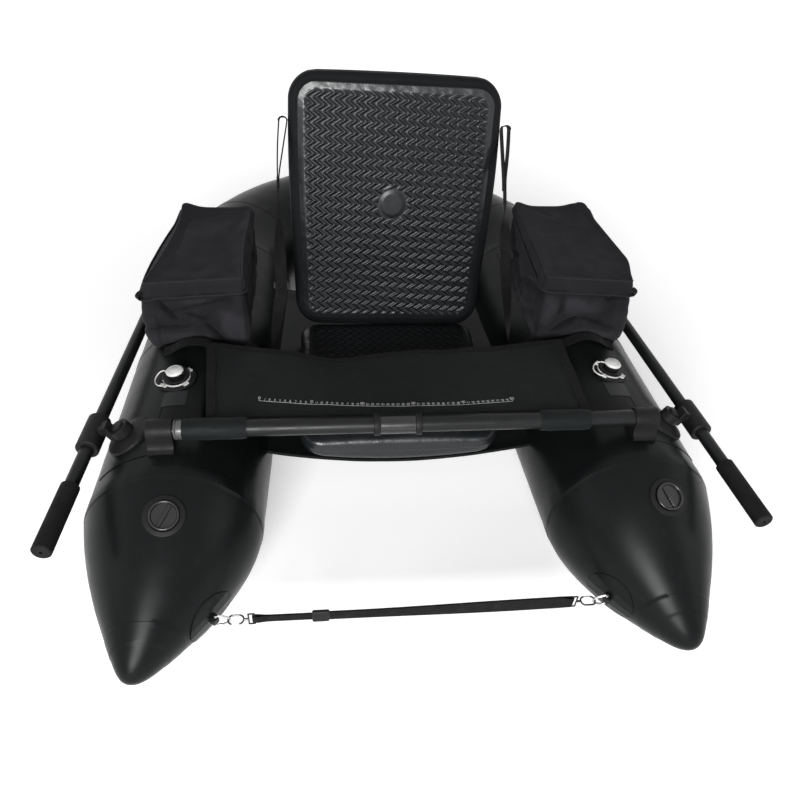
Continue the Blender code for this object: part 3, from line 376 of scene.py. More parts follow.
def webbing_look():
    """Webbing with ribs across it and the small chevrons of its threads."""
    look = Look("ribbed_webbing", (0.0055, 0.0055, 0.006), 0.72, IOR=1.16, Specular_IOR_Level=0.7, Sheen_Weight=0.04,
                Sheen_Roughness=0.4)
    u, v, _ = look.axes(look.coordinates(space="UV"))
    ribs = look.math("SINE", look.math("MULTIPLY", v, math.tau / 0.0022))
    threads = look.math("SINE", look.math("MULTIPLY", u, math.tau / 0.0016))
    chevrons = look.math("MULTIPLY", ribs, threads)
    look.mottle(45, 4, 0.5, 0.8, 0.5, (0.0155, 0.015, 0.0155)).vary(50, 3, 0.65, 0.85)
    return look.bump(look.span(look.math("ADD", ribs, chevrons), -2, 2), 0.0005, 0.6).material


webbing = webbing_look()
print("soft:", *[look.name for look in (skin, patch, nylon, cloth, foam, dull_foam_shade, foam_lip_highlight, webbing)])

# %% [markdown]
# ## Rigid materials
#
# Lacquered tube, plastics, rubber, ink, thread and bright metal. Most are one moulded surface in several glosses, so
# one function makes them all, and only the lacquer's scratches, the steel and the rubber's ribs are written apart.

# %%
def moulded(name, colour, roughness, grain=0.00018, specular=0.2):
    """A moulded surface with a paler mottle, fine grain and a faint waviness."""
    lighter = tuple(min(1, c * 1.5 + 0.004) for c in colour)
    return (Look(name, colour, roughness, Specular_IOR_Level=specular)
            .mottle(24, 4, 0.45, 0.8, 0.5, lighter)
            .vary(40, 4, roughness * 0.85, min(1, roughness * 1.2))
            .grain(1100, 2, grain, 0.4)
            .grain(90, 2, grain * 3, 0.15))


def lacquer_look():
    """Lacquer with pale scratches along the tube."""
    look = Look("lacquered_tube", (0.0065, 0.0068, 0.0074), 0.34, Specular_IOR_Level=0.2)
    look.mottle(18, 4, 0.45, 0.8, 0.6, (0.015, 0.0155, 0.0165))
    look.tint(look.span(look.noise(40, 5, (30, 1, 1)), 0.68, 0.78, 0, 0.25), (0.09, 0.09, 0.09))
    return look.vary(30, 4, 0.28, 0.44).grain(600, 2, 0.0001, 0.2).material


def rubber_look():
    """Rubber with fine ribs round the grip."""
    look = moulded("grip_rubber", (0.0062, 0.0062, 0.0062), 0.7, 0.0003, 0.12)
    _, y, _ = look.axes(look.coordinates())
    return look.bump(look.span(look.math("SINE", look.math("MULTIPLY", y, math.tau / 0.0026)), -1, 1), 0.0004,
                     0.35).material


lacquer = lacquer_look()
plastic = moulded("moulded_black", (0.0055, 0.0055, 0.006), 0.36, specular=0.18).material
dull_plastic = moulded("moulded_matt", (0.0078, 0.0076, 0.0077), 0.5, specular=0.14).material
print_ink = moulded("print_ink", (0.55, 0.55, 0.53), 0.7, specular=0.2).material
white = (moulded("white_plastic", (0.7, 0.7, 0.68), 0.36, specular=0.5)
         .mottle(120, 5, 0.55, 0.85, 0.35, (0.5, 0.49, 0.46)).material)
steel = (Look("stainless_steel", (0.62, 0.62, 0.63), 0.22, Metallic=1.0)
         .mottle(150, 5, 0.5, 0.8, 0.5, (0.42, 0.42, 0.43))
         .vary(200, 4, 0.14, 0.34)
         .grain(900, 3, 0.00008, 0.3).material)
rubber = rubber_look()
gloss_plastic = moulded("moulded_gloss", (0.0055, 0.0055, 0.006), 0.24, 0.0001, 0.5).material
ferrule = moulded("ferrule_metal", (0.07, 0.07, 0.07), 0.34, 0.0001, 0.5).material
thread = moulded("sewing_thread", (0.021, 0.021, 0.0225), 0.75, specular=0.1).material
print("rigid:", *[look.name for look in (lacquer, plastic, dull_plastic, print_ink, white, steel, rubber,
                                         gloss_plastic, ferrule, thread)])

# %% [markdown]
# ## Pieces
#
# Each shape starts as a bmesh, because the straps, walls and sheets follow measured paths that no primitive has.
# `place_piece` makes a finished piece of it at the origin, and says which body it rides on and which nodes of the
# frame it stands for. The helpers for straps, walls and sheets also write a map in metres, so that weaves keep their
# scale.

# %%
SIDES = (("left", -1), ("right", 1))
ACROSS, ALONG, UP = Vector((1, 0, 0)), Vector((0, 1, 0)), Vector((0, 0, 1))


def behind(distance):
    """The y of a place that lies this far behind the crossbar."""
    return BAR_Y + distance


def wander(x, y, z):
    """Smooth noise, between about -1 and 1."""
    return noise.noise(Vector((x, y, z)))


def crumple(x, y, z):
    """Noise with sharp ridges."""
    return 0.3 - abs(wander(x, y, z))


def soft_step(value, low, high):
    """0 below low and 1 above high, with a soft rise between them."""
    t = min(max((value - low) / (high - low), 0), 1)
    return t * t * (3 - 2 * t)


def place_piece(name, bm, look, body=None, replaces=(), sharp=40):
    """Makes a piece of the bmesh."""
    bmesh.ops.recalc_face_normals(bm, faces=bm.faces[:])
    mesh = bpy.data.meshes.new(name)
    bm.to_mesh(mesh)
    bm.free()
    mesh.shade_smooth()
    mesh.set_sharp_from_angle(angle=math.radians(sharp))
    mesh.materials.append(look)
    piece = bpy.data.objects.new(name, mesh)
    bpy.context.scene.collection.objects.link(piece)
    if body:
        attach(piece, body)
    if replaces:
        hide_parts(*replaces)
    return piece


def cloth_map(bm):
    """The layer of the piece's own map."""
    return bm.loops.layers.uv.get("cloth") or bm.loops.layers.uv.new("cloth")


def mapped_face(bm, layer, corners, spots):
    """A face whose corners lie at these spots of the map."""
    face = bm.faces.new(corners)
    for corner, spot in zip(face.loops, spots):
        corner[layer].uv = spot


def grid_faces(bm, rows):
    """The faces between rows of vertices."""
    for first, second in zip(rows, rows[1:]):
        for k in range(len(first) - 1):
            bm.faces.new((first[k], first[k + 1], second[k + 1], second[k]))


def grid_rim(rows, columns):
    """The (row, column) places round the rim of a grid, in order."""
    rim = [(0, i) for i in range(columns)] + [(j, columns) for j in range(rows)]
    return rim + [(rows, i) for i in range(columns, 0, -1)] + [(j, 0) for j in range(rows, 0, -1)]


def loft(sections, close_ring=False, bm=None):
    """A body through outlines with the same number of points, mapped in metres round and along."""
    bm = bm or bmesh.new()
    layer = cloth_map(bm)
    loops = [[bm.verts.new(point) for point in outline] for outline in sections]
    along = [0.0]
    for first, second in zip(sections, sections[1:]):
        along.append(along[-1] + max((Vector(a) - Vector(b)).length for a, b in zip(first, second)))
    middle = sections[len(sections) // 2]
    around = [0.0]
    for i in range(len(middle)):
        around.append(around[-1] + (Vector(middle[i]) - Vector(middle[i - 1])).length)
    if close_ring:
        loops.append(loops[0])
        along.append(along[-1] + 0.01)
    for first, second, start, end in zip(loops, loops[1:], along, along[1:]):
        for i in range(len(first)):
            mapped_face(bm, layer, (first[i - 1], first[i], second[i], second[i - 1]),
                        ((around[i], start), (around[i + 1], start), (around[i + 1], end), (around[i], end)))
    if not close_ring:
        for loop in (loops[0], loops[-1]):
            mapped_face(bm, layer, loop, [v.co.xy for v in loop])
    return bm


def turned(profile, sides, matrix=Matrix(), closed=False, bm=None):
    """Spins a profile of (radius, height) points about Z."""
    bm = bm or bmesh.new()
    corners = [bm.verts.new((radius, 0, height)) for radius, height in profile]
    edges = [bm.edges.new(pair) for pair in zip(corners, corners[1:])]
    if closed:
        edges.append(bm.edges.new((corners[-1], corners[0])))
    before = set(bm.verts)
    bmesh.ops.spin(bm, geom=corners + edges, axis=(0, 0, 1), cent=(0, 0, 0), steps=sides, angle=math.tau,
                   use_merge=True)
    made = [v for v in bm.verts if v not in before] + corners
    bmesh.ops.remove_doubles(bm, verts=made, dist=0.00002)
    made = [v for v in made if v.is_valid]
    bmesh.ops.transform(bm, matrix=matrix, verts=made)
    return bm


def stand(origin, normal, along):
    """A frame with Z on the normal and X as near as can be to the direction along."""
    z = normal.normalized()
    x = (along - along.dot(z) * z).normalized()
    return Matrix.Translation(origin) @ Matrix((x, z.cross(x), z)).transposed().to_4x4()


def rod(path, radius, sides=8, closed=False, bm=None, flat=1.0):
    """A round cord or wire along a path, with its frame carried along so that it doesn't twist."""
    path = [Vector(p) for p in path]
    sections = []
    normal = None
    for i, point in enumerate(path):
        before = path[i - 1] if closed or i else point
        after = path[(i + 1) % len(path)] if closed or i < len(path) - 1 else point
        along = (after - before).normalized()
        if normal is None:
            normal = along.orthogonal().normalized()
        normal = (normal - normal.dot(along) * along).normalized()
        outward = along.cross(normal)
        sections.append([point + radius * (math.cos(math.tau * k / sides) * outward
                                           + flat * math.sin(math.tau * k / sides) * normal)
                         for k in range(sides)])
    return loft(sections, close_ring=closed, bm=bm)


def smooth_path(points, steps):
    """A soft curve through the points."""
    points = [Vector(p) for p in points]
    ends = [2 * points[0] - points[1]] + points + [2 * points[-1] - points[-2]]
    path = []
    for i in range(1, len(ends) - 2):
        a, b, c, d = ends[i - 1:i + 3]
        for step in range(steps):
            t = step / steps
            path.append(0.5 * (2 * b + (c - a) * t + (2 * a - 5 * b + 4 * c - d) * t * t
                               + (3 * b - a - 3 * c + d) * t * t * t))
    path.append(points[-1])
    return path


def strap(path, thickness, columns=6, bm=None):
    """A flat strap along (point, width direction, width), mapped across and along, with rounded edges."""
    bm = bm or bmesh.new()
    layer = cloth_map(bm)
    rows = []
    length = 0.0
    for i, (point, across, width) in enumerate(path):
        before = path[max(i - 1, 0)][0]
        after = path[min(i + 1, len(path) - 1)][0]
        along = (after - before).normalized()
        across = (across - across.dot(along) * along).normalized()
        lift = along.cross(across)
        if i:
            length += (point - path[i - 1][0]).length
        top = []
        for k in range(columns + 1):
            share = 2 * k / columns - 1
            rise = thickness / 2 * (1 - 0.2 * abs(share) ** 6)
            top.append((point + across * share * width / 2, lift * rise, share * width / 2))
        ring = [p + r for p, r, _ in top] + [p - r for p, r, _ in reversed(top)]
        spots = [s for _, _, s in top] + [s for _, _, s in reversed(top)]
        rows.append(([bm.verts.new(p) for p in ring], spots, length))
    for (first, spots, start), (second, _, ending) in zip(rows, rows[1:]):
        for i in range(len(first)):
            mapped_face(bm, layer, (first[i - 1], first[i], second[i], second[i - 1]),
                        ((spots[i - 1], start), (spots[i], start), (spots[i], ending), (spots[i - 1], ending)))
    bm.faces.new(rows[0][0])
    bm.faces.new(rows[-1][0])
    return bm


THREAD = 0.0004


def stitches(bm, path, normal, length, gap):
    """A row of short thread stitches that lie on a surface along a path."""
    path = [Vector(p) for p in path]
    walked = 0.0
    for a, b in zip(path, path[1:]):
        stretch = (b - a).length
        place = 0.0
        while place < stretch:
            phase = (walked + place) % (length + gap)
            if phase < length:
                step = min(length - phase, stretch - place)
                if step > length * 0.5:
                    first = a.lerp(b, place / stretch)
                    last = a.lerp(b, (place + step) / stretch)
                    lift = normal * THREAD
                    rod([first, first.lerp(last, 0.25) + lift, first.lerp(last, 0.75) + lift, last], THREAD, 4, bm=bm)
                place += step + 1e-6
            else:
                place += length + gap - phase + 1e-6
        walked += stretch


print("piece helpers ready")

# %% [markdown]
# ## The hull
#
# Each side is one air tube: a bow that tapers and drops to a blunt tip, a straight stretch and half of the stern's
# bend. A bevelled curve could carry the changing radius, but not the skin's detail, so rings are lofted along the
# tube's line instead. The skin is welded from cut panels: a low tape runs round it at each join, the bow and the bend
# pucker a little there, and the whole skin is a little uneven.

# %%
TUBE = 0.1596
NOSE, TIP, BEND = 0.0655, 0.341, 0.74
SPREAD, TOE = 0.43, 0.05
BEND_RADIUS = SPREAD - TOE * BEND
NOSE_RUN, STRAIGHT_RUN = TIP - NOSE, BEND + NOSE
BEND_RUN = BEND_RADIUS * math.pi / 2
BEND_START = NOSE_RUN + STRAIGHT_RUN
HULL_RUN = BEND_START + BEND_RUN
HULL_SIDES = 96


def axis_x(distance):
    """How far from the middle the tube's axis lies, this far behind the bar."""
    return SPREAD - TOE * distance


def bow_ring(share):
    """Centre and radius of the bow at a share of the way to its tip."""
    radius = TUBE * max(1 - share**1.525, 0) ** (0.843 - 0.24 * share**8)
    start = axis_x(-NOSE)
    centre = Vector((start + (0.4773 - start) * share**1.69, behind(-NOSE - NOSE_RUN * share),
                     max(radius, TUBE + (0.115 - TUBE) * share)))
    return centre, radius


def hull_ring(run):
    """Centre, outward direction and radius at a length along the tube, counted from the bow's tip."""
    if run < NOSE_RUN:
        centre, radius = bow_ring(1 - run / NOSE_RUN)
        return centre, Vector((1, 0, 0)), radius
    if run < BEND_START:
        distance = run - NOSE_RUN - NOSE
        return Vector((axis_x(distance), behind(distance), TUBE)), Vector((1, 0, 0)), TUBE
    turn = (run - NOSE_RUN - STRAIGHT_RUN) / BEND_RADIUS
    outward = Vector((math.cos(turn), math.sin(turn), 0))
    return Vector((0, behind(BEND), TUBE)) + BEND_RADIUS * outward, outward, TUBE


SEAMS = [0.052, NOSE_RUN + 0.002, NOSE_RUN + STRAIGHT_RUN * 0.52, BEND_START]
SEAMS += [BEND_START + BEND_RUN * share for share in (0.333, 0.667, 1.0)]
PUCKERED = (1, 3, 4, 5)
TAPE_HALF = 0.012


def skin_rise(side, run, turn, point):
    """How far the skin stands out from its plain tube: tapes, puckers and unevenness."""
    rise = 0.0
    for i, seam in enumerate(SEAMS):
        off = abs(run - seam)
        if off <= TAPE_HALF + 0.0004:
            rise += 0.0007
        pull = math.exp(-(off / 0.03) ** 2)
        if i in PUCKERED:
            rise += 0.00035 * pull * math.sin(23 * turn + 2.1 * i + side) * (1.2 + math.sin(5 * turn + i))
    if run > BEND_START:
        inner = max(0, -math.cos(turn)) ** 2
        rise -= 0.0016 * inner * (0.5 + 0.5 * math.cos(math.tau * (run - NOSE_RUN - STRAIGHT_RUN) / BEND_RUN * 3))
    rise += 0.0008 * noise.noise(Vector(point) * 7 + Vector((side, 0, 0)))
    rise += 0.0003 * noise.noise(Vector(point) * 24)
    return rise


runs = [NOSE_RUN * (i / 56) ** 1.9 for i in range(1, 56)]
runs += [NOSE_RUN + STRAIGHT_RUN * i / 72 for i in range(72)]
runs += [BEND_START + BEND_RUN * i / 66 for i in range(67)]
for seam in SEAMS:
    runs += [seam + off for off in (-TAPE_HALF - 0.001, -TAPE_HALF, TAPE_HALF, TAPE_HALF + 0.001)]
runs = sorted(run for run in set(runs) if 0.0002 < run <= HULL_RUN)
runs = [run for i, run in enumerate(runs) if i == 0 or run - runs[i - 1] > 0.0004]
for word, side in SIDES:
    sections = []
    for run in [0.00015] + runs:
        centre, outward, radius = hull_ring(run)
        outline = []
        for k in range(HULL_SIDES):
            turn = math.tau * k / HULL_SIDES
            arm = math.cos(turn) * outward + Vector((0, 0, math.sin(turn)))
            point = centre + radius * arm
            if radius > 0.02:
                point = point + arm * skin_rise(side, run, turn, point)
            outline.append(Vector((side * max(point.x, 0), point.y, point.z)))
        sections.append(outline)
    hull = place_piece(word + "_hull_skin", loft(sections), skin, "hull", [word + "_air_tube"], 30)
    print(hull.name, len(hull.data.polygons), "faces")


# %% [markdown]
# ## Patches on the hull
#
# Patches are glued on under the valves, the oarlocks and the bags. A shrinkwrapped plane would follow the taped skin
# and show its grid, so each is bent round the tube's own circle, and then given its thickness.

# %%
def on_tube(side, distance, angle, lift=0.0):
    """A point and outward normal on the straight tube at an angle outwards from its top."""
    normal = Vector((side * math.sin(angle), TOE * math.sin(angle), math.cos(angle))).normalized()
    centre = Vector((side * axis_x(distance), behind(distance), TUBE))
    return centre + (TUBE + lift) * Vector((side * math.sin(angle), 0, math.cos(angle))), normal


PATCH_THICK, PATCH_ROWS, PATCH_COLUMNS = 0.0011, 10, 14


def skin_patch(name, side, near, far, low, high, look=skin):
    """A thin patch glued round the tube, between two places along it and two angles in degrees."""
    bm = bmesh.new()
    rows = []
    for i in range(PATCH_ROWS + 1):
        v = i / PATCH_ROWS
        tuck = 0.35 * max(0, abs(2 * v - 1) - 0.75) / 0.25
        row = []
        for k in range(PATCH_COLUMNS + 1):
            span = (k / PATCH_COLUMNS - 0.5) * (1 - 0.16 * tuck**2) + 0.5
            angle = math.radians(low + (high - low) * span)
            row.append(bm.verts.new(on_tube(side, near + (far - near) * v, angle, PATCH_THICK)[0]))
        rows.append(row)
    grid_faces(bm, rows)
    under = bmesh.ops.extrude_face_region(bm, geom=bm.faces[:], use_keep_orig=True)
    for v in (v for v in under["geom"] if isinstance(v, bmesh.types.BMVert)):
        centre = Vector((side * axis_x(v.co.y - BAR_Y), v.co.y, TUBE))
        v.co += (centre - v.co).normalized() * (PATCH_THICK * 2.5)
    return place_piece(name, bm, look, "hull", sharp=30)


for word, side in SIDES:
    skin_patch(word + "_valve_patch", side, 0.1, 0.141, -3, 13, look=patch)
    skin_patch(word + "_lock_patch", side, -0.025, 0.115, 12, 54)
    skin_patch(word + "_bag_patch", side, 0.315, 0.345, -20, 26)
print("patches laid")

# %% [markdown]
# ## Seat sling
#
# Coated cloth between the tubes, hollowed by the seat, with a hem that shows below the cushion's front. Its sag could
# be simulated, but the cushion's underside has to fit it exactly, so one formula gives the height of both.

# %%
# The hem is this many times thicker than the cloth.
HEM = 2.2


def sling_height(x):
    """The sling's height, this far from the middle."""
    return 0.208 - 0.048 * (1 - (x / 0.292) ** 2)


def sheet_body(columns, rows, place, thickness, hem=None):
    """A sheet whose upper face follows place(u, v), thicker where hem(u, v) says so, mapped in metres."""
    bm = bmesh.new()
    layer = cloth_map(bm)
    grid = [[place(i / columns, j / rows) for i in range(columns + 1)] for j in range(rows + 1)]
    widths, lengths = [0.0], [0.0]
    for i in range(columns):
        widths.append(widths[-1] + (grid[rows // 2][i + 1] - grid[rows // 2][i]).length)
    for j in range(rows):
        lengths.append(lengths[-1] + (grid[j + 1][columns // 2] - grid[j][columns // 2]).length)
    top, low = [], []
    for level, below in ((top, False), (low, True)):
        for j in range(rows + 1):
            row = []
            for i in range(columns + 1):
                across = grid[j][min(i + 1, columns)] - grid[j][max(i - 1, 0)]
                along = grid[min(j + 1, rows)][i] - grid[max(j - 1, 0)][i]
                normal = across.cross(along).normalized()
                extra = thickness * (HEM if hem and hem(i / columns, j / rows) else 1) - thickness
                row.append(bm.verts.new(grid[j][i] + (-normal * (thickness + extra / 2) if below
                                                      else normal * extra / 2)))
            level.append(row)
    for level in (top, low):
        for j in range(rows):
            for i in range(columns):
                mapped_face(bm, layer, (level[j][i], level[j][i + 1], level[j + 1][i + 1], level[j + 1][i]),
                            ((widths[i], lengths[j]), (widths[i + 1], lengths[j]),
                             (widths[i + 1], lengths[j + 1]), (widths[i], lengths[j + 1])))
    rim = grid_rim(rows, columns)
    for (j, i), (n, m) in zip(rim, rim[1:] + rim[:1]):
        bm.faces.new((top[j][i], top[n][m], low[n][m], low[j][i]))
    return bm


def sling_point(u, v):
    """The sling's upper face, with the puckers of its bare rear."""
    x = 0.285 * (2 * u - 1)
    front = 0.094 - 0.006 * (2 * u - 1) ** 2
    distance = front + (0.69 - front) * v
    height = sling_height(x) + 0.0015 * wander(x * 14, distance * 9, 2)
    bare = max(0, v - 0.82) / 0.18
    height += 0.004 * bare * math.sin(34 * u + 3 * v) * math.exp(-((2 * u - 1) / 0.8) ** 2)
    return Vector((x, behind(distance), height))


sling = place_piece("sling_cloth", sheet_body(72, 48, sling_point, 0.003, lambda u, v: v < 0.05 or v > 0.955),
                    skin, "hull", ["seat_sling"], 40)
print(sling.name, len(sling.data.polygons), "faces")

# %% [markdown]
# ## Pressed foam cushions
#
# Both cushions are moulded foam: a smooth rolled border, drawn-in or bulging sides with a parting line, and a face
# pressed with rows of zigzag ridges. A bump would be gone in the exported mesh, so the ridges are in the vertices. The
# middle of the backrest's face, where the photograph has a badge, is a plain smooth oval.

# %%
ZIGZAG_ACROSS, ZIGZAG_DOWN, ZIGZAG_SWING, ZIGZAG_SKEW, ZIGZAG_RISE = 0.0218, 0.0245, 0.0092, 0.057, 0.0034
PAD_STEP, PAD_LEAN = 0.0019, math.radians(34)


def zigzag(x, y):
    """Height of the pressed ridges, from 0 in the grooves to 1 on the ridges, which run down in zigzags."""
    share = ((y - 0.0209 + ZIGZAG_SKEW * x) / ZIGZAG_DOWN) % 1
    swing = ZIGZAG_SWING * (abs(4 * share - 2) - 1)
    wave = 0.5 + 0.5 * math.cos(math.tau * (x + 0.0079 + swing) / ZIGZAG_ACROSS)
    return wave ** 2


def pressed_pad(width, height, thickness, corner, edge, crown, bulge, margin, shoulder, bare=None):
    """A foam pad centred on the origin, with its pressed face up and its back at -thickness.

    The corner's and the edge's radius, the crown's height and the sides' bulge are in metres. The zigzags stop at the
    margin, where the shoulder begins to fall away, and inside the bare oval (its centre and half widths).
    """
    bm = bmesh.new()
    radius = corner - edge
    half_x, half_y = width / 2 - edge, height / 2 - edge
    columns, rows = round(2 * half_x / PAD_STEP), round(2 * half_y / PAD_STEP)

    def reach(y):
        """Half the face's width at this height."""
        over = max(0, abs(y) - (half_y - radius))
        return half_x - (radius - math.sqrt(max(radius**2 - over**2, 0)))

    def to_edge(x, y):
        """How far inside the face's edge a point lies."""
        dx, dy = abs(x) - (half_x - radius), abs(y) - (half_y - radius)
        if dx > 0 and dy > 0:
            return radius - math.hypot(dx, dy)
        return min(half_x - abs(x), half_y - abs(y))

    def face_height(x, y):
        """The height of the pressed face."""
        inside = to_edge(x, y)
        swell = crown * (1 - (x / half_x) ** 2) ** 0.8 * (1 - (y / half_y) ** 2) ** 0.8 if inside > 0 else 0
        relief = soft_step(inside, margin * 0.55, margin)
        rise = swell + relief * ZIGZAG_RISE * (zigzag(x, y) - 0.6)
        slope = shoulder * (1 - 0.7 * soft_step(y, half_y - 0.09, half_y - 0.03))
        rise -= slope * (1 - soft_step(inside, -margin * 0.35, margin)) ** 1.4
        rise += 0.0007 * (1 - relief) * wander(x * 62, y * 62, height * 9)
        if bare:
            oval = math.hypot((x - bare[0]) / bare[2], (y - bare[1]) / bare[3])
            calm = 1 - soft_step(oval, 0.9, 1.15)
            rise = rise * (1 - calm) + calm * (swell - 0.0018 * soft_step(oval, 0.6, 0.9))
        return rise

    ys = []
    for j in range(rows + 1):
        t = 2 * j / rows - 1
        ys.append(half_y * (0.88 * t + 0.12 * math.sin(math.pi / 2 * t)))
    front = []
    for y in ys:
        w = reach(y)
        row = [(-w + 2 * w * i / columns, y) for i in range(columns + 1)]
        front.append([bm.verts.new((x, y, face_height(x, y))) for x, y in row])
    grid_faces(bm, front)
    loop = [front[j][i] for j, i in grid_rim(rows, columns)]
    normals = []
    for v in loop:
        dx, dy = abs(v.co.x) - (half_x - radius), abs(v.co.y) - (half_y - radius)
        sx, sy = math.copysign(1, v.co.x), math.copysign(1, v.co.y)
        if dx > 0 and dy > 0:
            normals.append(Vector((sx * dx, sy * dy, 0)).normalized())
        elif half_x - abs(v.co.x) < half_y - abs(v.co.y):
            normals.append(Vector((sx, 0, 0)))
        else:
            normals.append(Vector((0, sy, 0)))
    base = [v.co.copy() for v in loop]
    drop = min(spot.z for spot in base)
    pressed = set(bm.faces)
    profile = []
    for k in range(1, 11):
        a = PAD_LEAN + (math.pi / 2 - PAD_LEAN) * k / 10
        profile.append((edge * (math.sin(a) - math.sin(PAD_LEAN)) / (1 - math.sin(PAD_LEAN)),
                        drop - (edge + drop) * (1 - math.cos(a) / math.cos(PAD_LEAN))))
    middle = -thickness / 2
    for z in (-edge * 1.4, middle + 0.004, middle + 0.0022, middle, middle - 0.0022, middle - 0.004,
              -thickness + edge * 1.4):
        off = 0.0014 if abs(z - middle) < 0.001 else (0.0010 if abs(z - middle) < 0.003 else 0)
        profile.append((edge + off, z))
    for k in range(0, 6):
        a = math.pi / 2 * (1 - k / 6)
        profile.append((edge * math.sin(a), -thickness + edge * (1 - math.cos(a))))
    rings = [loop]
    for off, z in profile:
        ring = []
        for spot, normal in zip(base, normals):
            wall = math.sin(math.pi * min(max(-z / thickness, 0), 1))
            long_way = 1 - (spot.x / half_x) ** 2 if abs(normal.y) > abs(normal.x) else 1 - (spot.y / half_y) ** 2
            swell = bulge * wall * max(long_way, 0)
            ring.append(bm.verts.new((spot.x + normal.x * (off + swell), spot.y + normal.y * (off + swell), z)))
        rings.append(ring)
    for first, second in zip(rings, rings[1:]):
        for i in range(len(first)):
            bm.faces.new((first[i - 1], first[i], second[i], second[i - 1]))
    bmesh.ops.contextual_create(bm, geom=rings[-1])
    made = [f for f in bm.faces if len(f.verts) > 8]
    bmesh.ops.inset_region(bm, faces=made, thickness=edge / 3, depth=0.0)
    # Slot 1 holds the sides and slot 2 the border; each caller fills them with a darker or a lighter copy of the foam,
    # as painted shade or painted highlight.
    for face in bm.faces:
        if face not in pressed:
            face.material_index = 1
        elif to_edge(*face.calc_center_median().xy) < margin * 0.66:
            face.material_index = 2
    return bm


print("pad maker ready")

# %% [markdown]
# ## Backrest
#
# The backrest is a pad that leans back on its hinge and narrows a little towards its top. It could be turned as an
# object, but finished pieces stay unturned at the origin, so its mesh is moved instead.

# %%
BACK_HINGE = Vector((0, -0.0175, 0.23991))
LEAN = math.radians(12)
back_frame = stand(BACK_HINGE, Vector((0, -math.cos(LEAN), math.sin(LEAN))), Vector((1, 0, 0)))
back_frame = back_frame @ Matrix.Rotation(math.radians(-1.2), 4, "Z")
BACK_WIDTH, BACK_HEIGHT, BACK_THICKNESS = 0.447, 0.548, 0.055
pad = pressed_pad(BACK_WIDTH, BACK_HEIGHT, BACK_THICKNESS, corner=0.056, edge=0.0175, crown=0.005, bulge=0.003,
                  margin=0.021, shoulder=0.006, bare=(-0.003, 0.016, 0.034, 0.036))
for v in pad.verts:
    v.co.x *= 1 - 0.05 * soft_step(-v.co.y, -0.16, 0.26)
    v.co.x -= 0.0045 * soft_step(v.co.x, 0, 0.2) * soft_step(v.co.y, 0.02, 0.25)
bmesh.ops.transform(pad, matrix=back_frame @ Matrix.Translation((0, BACK_HEIGHT / 2, 0)), verts=pad.verts[:])
backrest = place_piece("backrest_pad", pad, foam, "backrest", ["backrest_cushion"], 60)
# The backrest's sides get the darker foam as painted shade, and its border the lighter foam as painted highlight.
backrest.data.materials.append(dull_foam_shade)
backrest.data.materials.append(foam_lip_highlight)
print(backrest.name, len(backrest.data.polygons), "faces")

# %% [markdown]
# ## Seat
#
# The seat's cushion is the same kind of pad. It would stand off the hollowed sling if its back were flat, so the back
# follows the sling's height, and the sides less and less so up to the face, which stays level.

# %%
SEAT_WIDTH, SEAT_LENGTH, SEAT_THICKNESS = 0.41, 0.415, 0.058
SEAT_LOW = 0.243 - 0.012 - SEAT_THICKNESS
pad = pressed_pad(SEAT_WIDTH, SEAT_LENGTH, SEAT_THICKNESS, corner=0.045, edge=0.02, crown=0.012, bulge=-0.004,
                  margin=0.02, shoulder=0.003)
for v in pad.verts:
    share = min(1, max(0, -v.co.z / SEAT_THICKNESS))
    v.co.z += SEAT_THICKNESS + share * (sling_height(v.co.x) + 0.0006 - SEAT_LOW)
bmesh.ops.translate(pad, verts=pad.verts[:], vec=(0, behind(0.085 + SEAT_LENGTH / 2), SEAT_LOW))
# The seat's face and border get the darker foam as painted shade, and its sides and rolled front edge the lighter foam
# as painted highlight.
seat = place_piece("seat_pad", pad, dull_foam_shade, "hull", ["seat_cushion"], 60)
seat.data.materials.append(foam_lip_highlight)
seat.data.materials.append(dull_foam_shade)
print(seat.name, len(seat.data.polygons), "faces")

# %% [markdown]
# ## Backrest straps
#
# Webbing loops over each side of the backrest, comes together, turns flat and ends at a small buckle. A second strap
# runs from the buckle to the tube, turning once more to lie on the skin. Curves with a flat bevel twist at such turns,
# so each strap is given its width's direction point by point. Box stitches hold the ends. The upper strap is built
# where it hangs and is attached to no body.

# %%
WEB, WEB_THICK = 0.025, 0.002
LOOP = 0.017
FOOT = 0.458
ANCHOR_PLACE = 0.325
merges = {-1: Vector((-0.2405, behind(FOOT + 0.042), 0.592)), 1: Vector((0.2405, behind(FOOT + 0.042), 0.592))}
buckles = {-1: Vector((-0.2405, behind(FOOT - 0.058), 0.392)), 1: Vector((0.249, behind(FOOT - 0.03), 0.448))}
BUCKLE_LONG, BUCKLE_DEEP = 0.014, 0.007


def strap_run(spots, steps, width):
    """Straight runs between (point, width direction) spots, whose corners are rounded a little."""
    run = []
    for (first, across), (last, turned_across) in zip(spots, spots[1:]):
        for step in range(steps):
            share = step / steps
            run.append((first.lerp(last, share), across.lerp(turned_across, share).normalized()))
    run.append(spots[-1])
    for _ in range(3):
        inner = []
        for before, (point, across), after in zip(run, run[1:], run[2:]):
            inner.append((point * 0.5 + (before[0] + after[0]) * 0.25, across))
        run = [run[0]] + inner + [run[-1]]
    return [(point, across, width) for point, across in run]


def box_stitch(bm, centre, along, across, normal, length, width):
    """A stitched box with its crossing lines."""
    a, b = along * length / 2, across * width / 2
    corners = [centre - a - b, centre - a + b, centre + a + b, centre + a - b]
    for i, k in ((0, 1), (1, 2), (2, 3), (3, 0), (0, 2), (1, 3)):
        stitches(bm, [corners[i], corners[k]], normal, 0.0028, 0.0012)


